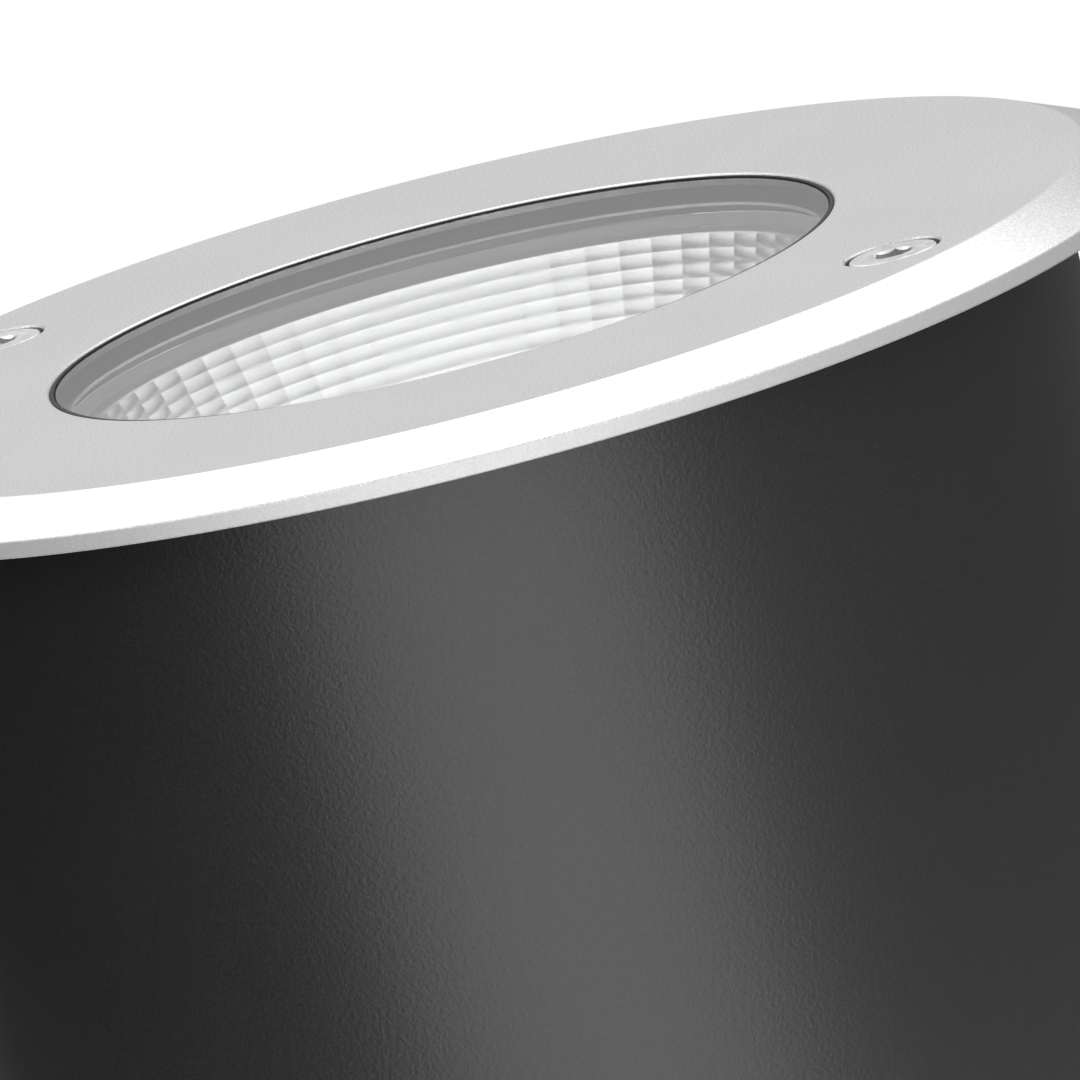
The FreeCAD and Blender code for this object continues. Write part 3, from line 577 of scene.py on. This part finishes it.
def clamp_screws():
    """Countersunk screws seen from below."""
    low = CLAMP_LOW
    tip = low + 6.9 * MM
    face_radius = 2.6 * MM
    head = 2.8 * MM
    head_edge = low + 0.2 * MM
    shank = 1.5 * MM
    cone_top = low + 1.3 * MM
    socket_flats = 2.0 * MM
    socket_top = low + 1.4 * MM
    outline = [
        (0, low),
        (face_radius, low),
        (head, head_edge),
        (shank, cone_top),
        (shank, tip),
        (0, tip),
    ]
    parts = []
    for spot in clamp_screw_spots():
        screw = lathe("part", outline, segments=32, centre=spot)
        cut(screw, hexagon("cutter", socket_flats, low - OVERCUT, socket_top, spot))
        parts.append(screw)
    piece = merged("clamp_screws_surface", parts)
    place(piece, "cover", ZINC, "clamp_screws", slot="zinc_steel")


def cover_o_ring():
    section = (O_RING_HIGH - O_RING_LOW) / 2
    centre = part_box("cover_o_ring")[1].x - section
    middle = (O_RING_HIGH + O_RING_LOW) / 2
    steps = 24
    turns = [TURN * k / steps for k in range(steps)]
    outline = [(centre + section * math.cos(t), middle + section * math.sin(t)) for t in turns]
    piece = lathe("o_ring_surface", outline, segments=240)
    place(piece, "cover", RUBBER, "cover_o_ring", slot="black_rubber")


def trim_screw(word, spot):
    """Low-head socket screw with a rounded crown, a chamfered socket and thread ridges."""
    tip, head_top = (corner.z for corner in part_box("trim_screw_" + word))
    seat = head_top - 3.5 * MM
    head = 5 * MM
    head_edge = 0.45 * MM
    neck = 2.7 * MM
    neck_low = seat - 4.5 * MM
    pitch = 1.0 * MM
    crest = 3.0 * MM
    root = 2.55 * MM
    first_crest = tip + 0.6 * MM
    thread_end = seat - 5 * MM
    socket_flats = 4.0 * MM
    socket_low = head_top - 2.2 * MM
    mouth_low = head_top - 0.3 * MM
    mouth_top = head_top + 0.1 * MM
    mouth_inner = 2.05 * MM
    mouth_outer = 2.45 * MM
    outline = [(0, tip), (root, tip)]
    z = first_crest
    while z < thread_end:
        outline.append((crest, z))
        outline.append((root, z + pitch / 2))
        z += pitch
    outline += [(neck, neck_low), (neck, seat)]
    outline += softened([(head, seat), (head, head_top), (0, head_top)], head_edge, keep=(2,))
    piece = lathe("trim_screw_%s_surface" % word, outline, segments=96, centre=spot, sharp=40)
    socket = hexagon("cutter", socket_flats, socket_low, head_top + OVERCUT, spot)
    mouth = [(0, mouth_low), (mouth_inner, mouth_low), (mouth_outer, mouth_top), (0, mouth_top)]
    cut(piece, socket, lathe("cutter", mouth, segments=48, centre=spot))
    place(piece, "screw_" + word, SCREW, "trim_screw_" + word, slot="screw_steel")


# Housing

def arch(name, half, near, far, low):
    """Prism along +Y with a round top about the gland's axis."""
    steps = 48
    turns = [math.pi * k / steps for k in range(steps + 1)]
    section = [(half, low)]
    section += [(half * math.cos(t), GLAND_HEIGHT + half * math.sin(t)) for t in turns]
    section.append((-half, low))
    count = len(section)
    points = [(x, y, z) for y in (near, far) for x, z in section]
    faces = [tuple(range(count)), tuple(range(2 * count - 1, count - 1, -1))]
    faces += [(k, count + k, count + (k + 1) % count, (k + 1) % count) for k in range(count)]
    return new_piece(name, points, faces)


def foot_rib(length, turn):
    """Upright bar in the base, from the axis outwards."""
    half_width = 1.5 * MM
    low = 0.6 * MM
    high = 4 * MM
    start = -0.5 * MM
    corners = ((start, -half_width), (length, -half_width), (length, half_width), (start, half_width))
    points = [(x, y, z) for z in (low, high) for x, y in corners]
    faces = [(3, 2, 1, 0), (4, 5, 6, 7)]
    faces += [(k, (k + 1) % 4, 4 + (k + 1) % 4, 4 + k) for k in range(4)]
    rib = new_piece("rib", points, faces)
    rib.data.transform(Matrix.Rotation(turn, 4, "Z"))
    return rib


def housing():
    """Cast body: foot ring with ribs, arched cable pocket, ledge, flange and screw holes."""
    cavity = BODY_RADIUS - 5.2 * MM
    slope = cavity - MOUTH_RADIUS
    foot = BODY_RADIUS - 11 * MM
    base = 3 * MM
    base_chamfer = 2 * MM
    crown_chamfer = 1.2 * MM
    mouth_chamfer = 0.8 * MM
    flange_low = HOUSING_TOP - 14 * MM
    ledge_radius = 48 * MM
    ledge_top = SPREADER_TOP - 6 * MM
    ledge_low = ledge_top - 5 * MM
    floor_top = 8 * MM
    edge = 0.5 * MM
    outline = [
        (0, base),
        (foot, base),
        (foot, 0),
        (BODY_RADIUS - base_chamfer, 0),
        (BODY_RADIUS, base_chamfer),
        (BODY_RADIUS, HOUSING_TOP - crown_chamfer),
        (BODY_RADIUS - crown_chamfer, HOUSING_TOP),
        (MOUTH_RADIUS + mouth_chamfer, HOUSING_TOP),
        (MOUTH_RADIUS, HOUSING_TOP - mouth_chamfer),
        (MOUTH_RADIUS, flange_low),
        (cavity, flange_low - slope),
        (cavity, ledge_top),
        (ledge_radius, ledge_top),
        (ledge_radius, ledge_low),
        (cavity, ledge_low - slope),
        (cavity, floor_top),
        (0, floor_top),
    ]
    shell = lathe("shell", softened(outline, edge, steps=4))

    insert_top = HOUSING_TOP - 1.5 * MM
    insert_low = insert_top - 12 * MM
    hole_low = insert_top - 18 * MM
    shank = 3.2 * MM
    insert = 4 * MM
    retainer = 4.9 * MM
    above = HOUSING_TOP + OVERCUT
    hole = [
        (0, hole_low),
        (shank, hole_low),
        (shank, insert_low),
        (insert, insert_low),
        (insert, insert_top),
        (retainer, insert_top),
        (retainer, above),
        (0, above),
    ]
    pocket = 20 * MM
    pocket_face = 43 * MM
    lining_half = 24 * MM
    lining_face = 39 * MM
    lining_end = 64.4 * MM
    lining_low = 5 * MM
    beyond = BODY_RADIUS + 5 * MM
    cutters = [arch("cutter", pocket, pocket_face, beyond, -OVERCUT)]
    cutters += [lathe("cutter", hole, segments=64, centre=spot) for spot in SCREW_SPOTS]
    cut(shell, merged("cutter", cutters))
    lining = arch("lining", lining_half, lining_face, lining_end, lining_low)
    cut(lining, arch("cutter", pocket, pocket_face, BODY_RADIUS, lining_low - OVERCUT))
    rib_overlap = 0.5 * MM
    ribs = [foot_rib(foot + rib_overlap, TURN * k / 6) for k in range(6)]
    piece = merged("housing_surface", [shell, lining] + ribs)
    place(piece, "housing", COAT, "housing", slot="housing_coat")


# Cable gland

def along_y(piece):
    """Turns a piece made about +Z onto the gland's axis."""
    lift = Matrix.Translation((0, 0, GLAND_HEIGHT))
    piece.data.transform(lift @ Matrix.Rotation(-math.pi / 2, 4, "X"))
    return piece


def nut_body(name, low, high):
    """Hexagonal prism with its corners turned off at both ends."""
    corner = GLAND_FLATS / math.sqrt(3)
    crown = GLAND_FLATS / 2 + 0.15 * MM
    drop = (corner - crown) * 0.6     # corners turned off at about 30 degrees
    barrel = [
        (0, low),
        (crown, low),
        (corner, low + drop),
        (corner, high - drop),
        (crown, high),
        (0, high),
    ]
    piece = hexagon(name, GLAND_FLATS, low, high)
    combine(piece, lathe("cutter", barrel, segments=96), "INTERSECT")
    return piece


def thread(low, high):
    """Outline of the gland's thread ridges, from a level to another."""
    pitch = 1.5 * MM
    root = GLAND_THREAD - 0.6 * MM
    outline = []
    z = low
    while z < high - pitch:
        outline.append((root, z))
        outline.append((GLAND_THREAD, z + pitch / 2))
        z += pitch
    return outline + [(root, z), (root, high)]


def gland_body():
    near, far = (corner.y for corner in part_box("gland_body"))
    hex_near = 44.5 * MM
    hex_far = hex_near + 5 * MM
    overlap = 0.5 * MM
    piece = nut_body("gland_body_surface", hex_near, hex_far)
    low, high = hex_near - OVERCUT, hex_far + OVERCUT
    core = [(0, low), (GLAND_CORE, low), (GLAND_CORE, high), (0, high)]
    cut(piece, lathe("cutter", core, segments=64))
    parts = [piece]
    for ridges in (thread(hex_far - overlap, far), thread(near, hex_near + overlap)):
        outline = [(GLAND_CORE, ridges[0][1])] + ridges + [(GLAND_CORE, ridges[-1][1])]
        parts.append(lathe("part", outline, segments=96))
    piece = merged("gland_body_surface", parts)
    place(along_y(piece), "housing", BLACK_PLASTIC, "gland_body", slot="gland_plastic")


def gland_dome_nut():
    """Hexagon with a rounded dome, hollow for the gland's neck and sleeve."""
    near, far = (corner.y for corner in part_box("gland_dome_nut"))
    hex_far = near + 8.4 * MM
    waist = hex_far + 2.6 * MM
    shoulder = far - 0.5 * MM
    dome_foot = 11.9 * MM
    dome_waist = 10.6 * MM
    dome_shoulder = 8.6 * MM
    dome_top = 7.2 * MM
    dome_edge = 1.2 * MM
    crown = [
        (0, hex_far - OVERCUT),
        (dome_foot, hex_far - OVERCUT),
        (dome_foot, hex_far),
        (dome_waist, waist),
        (dome_shoulder, shoulder),
        (dome_top, far),
        (0, far),
    ]
    piece = nut_body("gland_dome_nut_surface", near, hex_far)
    dome = lathe("part", softened(crown, dome_edge, steps=6, keep=(0, 1, 6)), segments=96)
    combine(piece, dome, "UNION")
    bore = GLAND_THREAD + 0.05 * MM
    inner = near + 10 * MM
    mouth = 5.2 * MM
    chamfer = 0.8 * MM
    above = far + 0.1 * MM
    hollow = [
        (0, near - OVERCUT),
        (bore, near - OVERCUT),
        (bore, inner),
        (mouth, inner),
        (mouth, far - chamfer),
        (mouth + chamfer, above),
        (0, above),
    ]
    cut(piece, lathe("cutter", hollow, segments=96))
    place(along_y(piece), "gland_nut", BLACK_PLASTIC, "gland_dome_nut", slot="gland_plastic")


def gland_insert():
    """Rubber sleeve with a collar and the open way for a cord."""
    near, far = (corner.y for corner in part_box("gland_insert"))
    shoulder = far - 2 * MM
    way = 4.2 * MM
    collar = 9 * MM
    edge = 0.5 * MM
    outline = [
        (way, near),
        (GLAND_CORE, near),
        (GLAND_CORE, shoulder),
        (collar, shoulder),
        (collar, far),
        (way, far),
    ]
    piece = lathe("gland_insert_surface", softened(outline, edge), segments=96)
    place(along_y(piece), "housing", RUBBER, "gland_insert", slot="black_rubber")


def gland_washer():
    near, far = (corner.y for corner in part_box("gland_washer"))
    outer = 13 * MM
    edge = 0.4 * MM
    outline = [(GLAND_THREAD, near), (outer, near), (outer, far), (GLAND_THREAD, far)]
    piece = lathe("gland_washer_surface", softened(outline, edge), segments=120)
    place(along_y(piece), "housing", RUBBER, "gland_washer", slot="black_rubber")


# Light source

def led_holder():
    """White holder with a funnel, softened edges and sunk screw wells."""
    low, high = (corner.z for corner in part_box("led_holder"))
    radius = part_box("led_holder")[1].x
    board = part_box("led_board")[1].z
    funnel_low = 10 * MM
    funnel_high = 12 * MM
    hollow = 17.5 * MM
    edge = 0.5 * MM
    outline = [
        (funnel_low, board),
        (funnel_high, high),
        (radius, high),
        (radius, low),
        (hollow, low),
        (hollow, board),
    ]
    piece = lathe("led_holder_surface", softened(outline, edge), segments=160)
    screw_offset = 17.5 * MM
    seat = high - 2 * MM
    shank = 1.55 * MM
    head = 3 * MM
    under = low - OVERCUT
    above = high + OVERCUT
    well = [(0, under), (shank, under), (shank, seat), (head, seat), (head, above), (0, above)]
    for x in (screw_offset, -screw_offset):
        cut(piece, lathe("cutter", well, segments=48, centre=(x, 0)))
    place(piece, "housing", WHITE_PLASTIC, "led_holder", slot="holder_plastic")


def led_emitter():
    """Phosphor disc, slightly domed, inside a pale dam."""
    low, high = (corner.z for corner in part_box("led_emitter"))
    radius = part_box("led_emitter")[1].x
    dam = radius - 0.7 * MM
    disc_edge = high - 0.25 * MM
    bulge = 0.15 * MM
    steps = 12
    shares = [k / steps for k in range(steps + 1)]
    dome = [(dam * share, disc_edge + bulge * (1 - share ** 2)) for share in shares]
    outline = [(0, low), (dam, low)] + dome[:0:-1] + [dome[0]]
    disc = lathe("led_phosphor", outline, segments=96)
    place(disc, "housing", PHOSPHOR, "led_emitter", slot="phosphor")
    rim = softened([(dam, low), (radius, low), (radius, high), (dam, high)])
    ring = lathe("led_dam", rim, segments=96)
    place(ring, "housing", WHITE_PLASTIC, "led_emitter", slot="phosphor")


# Reflector: rows of pillow facets, counted from the top

BOWL_DEPTH = BOWL_RIM - BOWL_LOW
FACETS_TOP_RADIUS = 41.0 * MM
FACETS_LOW_RADIUS = 12.0 * MM
BOWL_WALL = 1.6 * MM
COLUMNS = 60
ROWS = 30
FIRST_ROW = 1.5 * MM
COLUMN_PHASE = math.radians(3.67)
PILLOW_DOWN = 0.065 * MM              # rise of the first row's pillows, seen down a column
PILLOW_ACROSS = 0.16 * MM             # rise of the first row's pillows, seen along the row
PILLOW_SPREAD = 0.2                   # how much the pillows' rises differ, as a share
PILLOW_STEPS = 6                      # mesh steps in each direction of a pillow
FACET_SHARP = 14
LIFT_SEED = 7


def bowl_radius(z):
    share = (z - BOWL_LOW) / BOWL_DEPTH
    low = FACETS_LOW_RADIUS ** 2
    return math.sqrt(max(0.0, low + (FACETS_TOP_RADIUS ** 2 - low) * share))


def row_levels():
    """Levels between the rows, which grow taller downwards by the same step."""
    spare = BOWL_DEPTH - ROWS * FIRST_ROW
    growth = 2 * spare / (ROWS * (ROWS - 1))
    levels = [BOWL_RIM]
    for k in range(ROWS):
        levels.append(levels[-1] - FIRST_ROW - growth * k)
    return levels


def pillow_point(high, low, column, u, v, lift):
    """Point on one pillow: u and v run from 0 to 1 along the row and down the column."""
    left = TURN * column / COLUMNS + COLUMN_PHASE
    right = left + TURN / COLUMNS
    r_high = bowl_radius(high)
    r_low = bowl_radius(low)
    r = r_high + (r_low - r_high) * v
    z = high + (low - high) * v
    x = r * (math.cos(left) * (1 - u) + math.cos(right) * u)
    y = r * (math.sin(left) * (1 - u) + math.sin(right) * u)
    middle = (left + right) / 2
    slope = math.atan2(r_high - r_low, high - low)
    rise = PILLOW_DOWN * (high - low) / FIRST_ROW * (1 - (2 * v - 1) ** 2)
    rise += PILLOW_ACROSS * r / FACETS_TOP_RADIUS * (1 - (2 * u - 1) ** 2)
    rise *= lift
    inward = rise * math.cos(slope)
    return (x - inward * math.cos(middle), y - inward * math.sin(middle), z + rise * math.sin(slope))


def bowl_outside(levels):
    """The bowl's outline outside the facets: back skin, mounting flange and rolled lip."""
    wall = FACETS_TOP_RADIUS + 0.9 * MM
    wall_high = wall + 0.4 * MM
    lip_radius = FACETS_TOP_RADIUS + BOWL_WALL + 1.4 * MM
    lip_inside = FACETS_TOP_RADIUS + 0.5 * MM
    lip_low = BOWL_RIM - BOWL_WALL
    flange = BOWL_RIM - 3 * MM
    flange_low = flange - 1.2 * MM
    edge = 0.35 * MM
    rows_over_skin = 4
    corners = [
        (wall, flange_low),
        (BOWL_FLANGE_RADIUS, flange_low),
        (BOWL_FLANGE_RADIUS, flange),
        (wall, flange),
        (wall_high, lip_low),
        (lip_radius, lip_low),
        (lip_radius, BOWL_RIM),
        (lip_inside, BOWL_RIM),
    ]
    skin = [(bowl_radius(z) + BOWL_WALL, z) for z in levels[rows_over_skin:]]
    return list(reversed(skin)) + softened(corners, edge, steps=4, keep=(0,))


def reflector():
    """Spun bowl with a rolled lip; its facets are pillows that differ a little from each other."""
    levels = row_levels()
    around = COLUMNS * PILLOW_STEPS
    lifts = random.Random(LIFT_SEED)
    plain = bowl_outside(levels)
    points = []
    for r, z in plain:
        for i in range(around):
            turn = TURN * i / around + COLUMN_PHASE
            points.append((r * math.cos(turn), r * math.sin(turn), z))
    rings = len(plain)
    for row, (high, low) in enumerate(zip(levels, levels[1:])):
        lift = [1 + PILLOW_SPREAD * (lifts.random() - 0.5) for _ in range(COLUMNS)]
        for step in range(0 if row == 0 else 1, PILLOW_STEPS + 1):
            rings += 1
            v = step / PILLOW_STEPS
            for i in range(around):
                column, part = divmod(i, PILLOW_STEPS)
                u = part / PILLOW_STEPS
                points.append(pillow_point(high, low, column, u, v, lift[column]))
    faces = []
    for k in range(rings):
        m = (k + 1) % rings
        for i in range(around):
            n = (i + 1) % around
            faces.append((k * around + i, k * around + n, m * around + n, m * around + i))
    piece = new_piece("reflector_surface", points, faces, FACET_SHARP)
    place(piece, "housing", MIRROR, "reflector", slot="reflector_mirror")


trim_ring()
glass()
glass_seal()
clamp_ring()
clamp_screws()
cover_o_ring()
for side, spot in zip(("right", "left"), SCREW_SPOTS):
    trim_screw(side, spot)
housing()
gland_body()
gland_dome_nut()
gland_insert()
gland_washer()
led_holder()
led_emitter()
reflector()


# Studio: brightness of the surroundings, as (direction's part, level) pairs

SKY_BY_HEIGHT = (
    (0, 0.54), (0.15, 0.6), (0.3, 0.72), (0.45, 0.88),
    (0.65, 1.14), (0.75, 1.1), (0.87, 0.75), (1, 0.55),
)
SKY_TO_THE_FRONT = ((-1, 1.0), (-0.75, 1.06), (-0.3, 1.5), (0.3, 1.66), (0.7, 1.66), (1, 1.5))
BELOW_BY_SIDE = ((-1, 0.01), (-0.6, 0.02), (-0.2, 0.13), (0, 0.15), (0.5, 0.18), (1, 0.165))
HORIZON = (-0.06, 0.12)
HORIZON_LIFT_BY_SIDE = ((-1, 0.22), (-0.6, 0.16), (-0.1, 0), (1, 0))
RAMP_TOP = 4                          # level that a colour ramp's white stands for

FLOOR_RADIUS = 1.2
FLOOR_POINTS = 128
FLOOR_FADE = (0.13, 0.28)


def camera():
    """The photograph's view: a long lens far away, rolled a little."""
    right = Vector((math.cos(AZIMUTH), math.sin(AZIMUTH), 0))
    away = Vector((-math.sin(AZIMUTH), math.cos(AZIMUTH), 0))
    looking = away * math.cos(ELEVATION) - Vector((0, 0, math.sin(ELEVATION)))
    up = away * math.sin(ELEVATION) + Vector((0, 0, math.cos(ELEVATION)))
    camera_right = right * math.cos(ROLL) - up * math.sin(ROLL)
    camera_up = right * math.sin(ROLL) + up * math.cos(ROLL)
    pixel = TRIM_RADIUS / PIXELS_PER_TRIM_RADIUS
    half = IMAGE_SIDE / 2
    aim = Vector((0, 0, TOP))
    aim += camera_right * (half - GLASS_CENTRE_PIXEL[0]) * pixel
    aim -= camera_up * (half - GLASS_CENTRE_PIXEL[1]) * pixel
    data = bpy.data.cameras.new("camera")
    data.sensor_width = SENSOR_WIDTH
    data.lens = data.sensor_width * CAMERA_DISTANCE / (IMAGE_SIDE * pixel)
    data.clip_start, data.clip_end = CAMERA_RANGE
    seen = bpy.data.objects.new("camera", data)
    bpy.context.scene.collection.objects.link(seen)
    turn = Matrix((camera_right, camera_up, -looking)).transposed()
    seen.matrix_world = Matrix.Translation(aim - looking * CAMERA_DISTANCE) @ turn.to_4x4()
    bpy.context.scene.camera = seen


def softbox(name, azimuth, elevation, distance, width, height, radiance):
    """Rectangular lamp facing the trim, placed by degrees from the photograph's side."""
    a = AZIMUTH + math.radians(azimuth)
    e = math.radians(elevation)
    out = Vector((math.sin(a) * math.cos(e), -math.cos(a) * math.cos(e), math.sin(e)))
    data = bpy.data.lights.new(name, "AREA")
    data.shape = "RECTANGLE"
    data.size = width
    data.size_y = height
    data.energy = radiance * math.pi * width * height
    lamp = bpy.data.objects.new(name, data)
    bpy.context.scene.collection.objects.link(lamp)
    lamp.location = Vector((0, 0, TOP)) + out * distance
    lamp.rotation_mode = "QUATERNION"
    lamp.rotation_quaternion = out.to_track_quat("Z", "Y")
    lamp.visible_camera = False


def studio_world():
    """White behind the object; to reflections, brightest in front and dim below and at the left."""
    world = bpy.data.worlds.new("studio")
    bpy.context.scene.world = world
    world.use_nodes = True
    tree = world.node_tree
    coordinates = tree.nodes.new("ShaderNodeTexCoord")
    split = tree.nodes.new("ShaderNodeSeparateXYZ")
    path = tree.nodes.new("ShaderNodeLightPath")
    tree.links.new(coordinates.outputs["Generated"], split.inputs["Vector"])
    height = split.outputs["Z"]
    forward = world_axis(tree, coordinates, (math.sin(AZIMUTH), -math.cos(AZIMUTH), 0))
    sideways = world_axis(tree, coordinates, (math.cos(AZIMUTH), math.sin(AZIMUTH), 0))
    upper = calculated(tree, "MULTIPLY", world_ramp(tree, height, SKY_BY_HEIGHT),
                       world_ramp(tree, forward, SKY_TO_THE_FRONT))
    lower = world_ramp(tree, sideways, BELOW_BY_SIDE)
    lift = world_ramp(tree, sideways, HORIZON_LIFT_BY_SIDE)
    rise = smooth_step(tree, calculated(tree, "SUBTRACT", height, lift), HORIZON)
    mix = tree.nodes.new("ShaderNodeMix")
    tree.links.new(rise, mix.inputs["Factor"])
    tree.links.new(lower, mix.inputs["A"])
    tree.links.new(upper, mix.inputs["B"])
    seen = calculated(tree, "MAXIMUM", mix.outputs["Result"], path.outputs["Is Camera Ray"])
    tree.links.new(seen, tree.nodes["Background"].inputs["Strength"])
    tree.nodes["Background"].inputs["Color"].default_value = (1, 1, 1, 1)


def calculated(tree, operation, first, second):
    node = tree.nodes.new("ShaderNodeMath")
    node.operation = operation
    tree.links.new(first, node.inputs[0])
    tree.links.new(second, node.inputs[1])
    return node.outputs["Value"]


def smooth_step(tree, value, ends):
    """Soft change from 0 to 1 as the value runs between the ends."""
    node = tree.nodes.new("ShaderNodeMapRange")
    node.interpolation_type = "SMOOTHSTEP"
    node.inputs["From Min"].default_value, node.inputs["From Max"].default_value = ends
    tree.links.new(value, node.inputs["Value"])
    return node.outputs["Result"]


def world_axis(tree, coordinates, axis):
    """A direction's part along an axis."""
    node = tree.nodes.new("ShaderNodeVectorMath")
    node.operation = "DOT_PRODUCT"
    node.inputs[1].default_value = axis
    tree.links.new(coordinates.outputs["Generated"], node.inputs[0])
    return node.outputs["Value"]


def world_ramp(tree, value, levels):
    """Brightness along a direction's part, which runs from -1 to 1."""
    shift = tree.nodes.new("ShaderNodeMapRange")
    shift.inputs["From Min"].default_value = -1
    tree.links.new(value, shift.inputs["Value"])
    ramp = tree.nodes.new("ShaderNodeValToRGB")
    elements = ramp.color_ramp.elements
    while len(elements) < len(levels):
        elements.new(0.5)
    for element, (part, level) in zip(elements, levels):
        element.position = (part + 1) / 2
        element.color = (*[level / RAMP_TOP] * 3, 1)
    tree.links.new(shift.outputs["Result"], ramp.inputs["Fac"])
    scale = tree.nodes.new("ShaderNodeMath")
    scale.operation = "MULTIPLY"
    scale.inputs[1].default_value = RAMP_TOP
    tree.links.new(ramp.outputs["Color"], scale.inputs[0])
    return scale.outputs["Value"]


def floor():
    """Pale disc that fades into the white background and is clear when seen from below."""
    turns = [TURN * k / FLOOR_POINTS for k in range(FLOOR_POINTS)]
    rim = [(FLOOR_RADIUS * math.cos(t), FLOOR_RADIUS * math.sin(t), 0) for t in turns]
    piece = new_piece("floor", rim, [tuple(range(FLOOR_POINTS))])
    material = new_material("pale_floor", (0.86, 0.86, 0.86), 0.0, 0.7)
    vary_roughness(material, noise(material, 300, detail=3), 0.6, 0.8)
    tree = material.node_tree
    coordinates = tree.nodes.new("ShaderNodeTexCoord")
    distance = tree.nodes.new("ShaderNodeVectorMath")
    distance.operation = "LENGTH"
    side = tree.nodes.new("ShaderNodeNewGeometry")
    clear = tree.nodes.new("ShaderNodeBsdfTransparent")
    mix = tree.nodes.new("ShaderNodeMixShader")
    tree.links.new(coordinates.outputs["Object"], distance.inputs[0])
    fade = smooth_step(tree, distance.outputs["Value"], FLOOR_FADE)
    either = calculated(tree, "MAXIMUM", fade, side.outputs["Backfacing"])
    tree.links.new(either, mix.inputs["Fac"])
    tree.links.new(tree.nodes["Principled BSDF"].outputs["BSDF"], mix.inputs[1])
    tree.links.new(clear.outputs["BSDF"], mix.inputs[2])
    tree.links.new(mix.outputs["Shader"], tree.nodes["Material Output"].inputs["Surface"])
    piece.data.materials.append(material)


camera()
studio_world()
floor()
softbox("front_light", azimuth=-4, elevation=-14, distance=1.6,
        width=1.95, height=1.1, radiance=2.05)
softbox("overhead_light", azimuth=174, elevation=60, distance=1.7,
        width=1.8, height=1.1, radiance=2.3)

bpy.context.scene.view_settings.view_transform = "Standard"
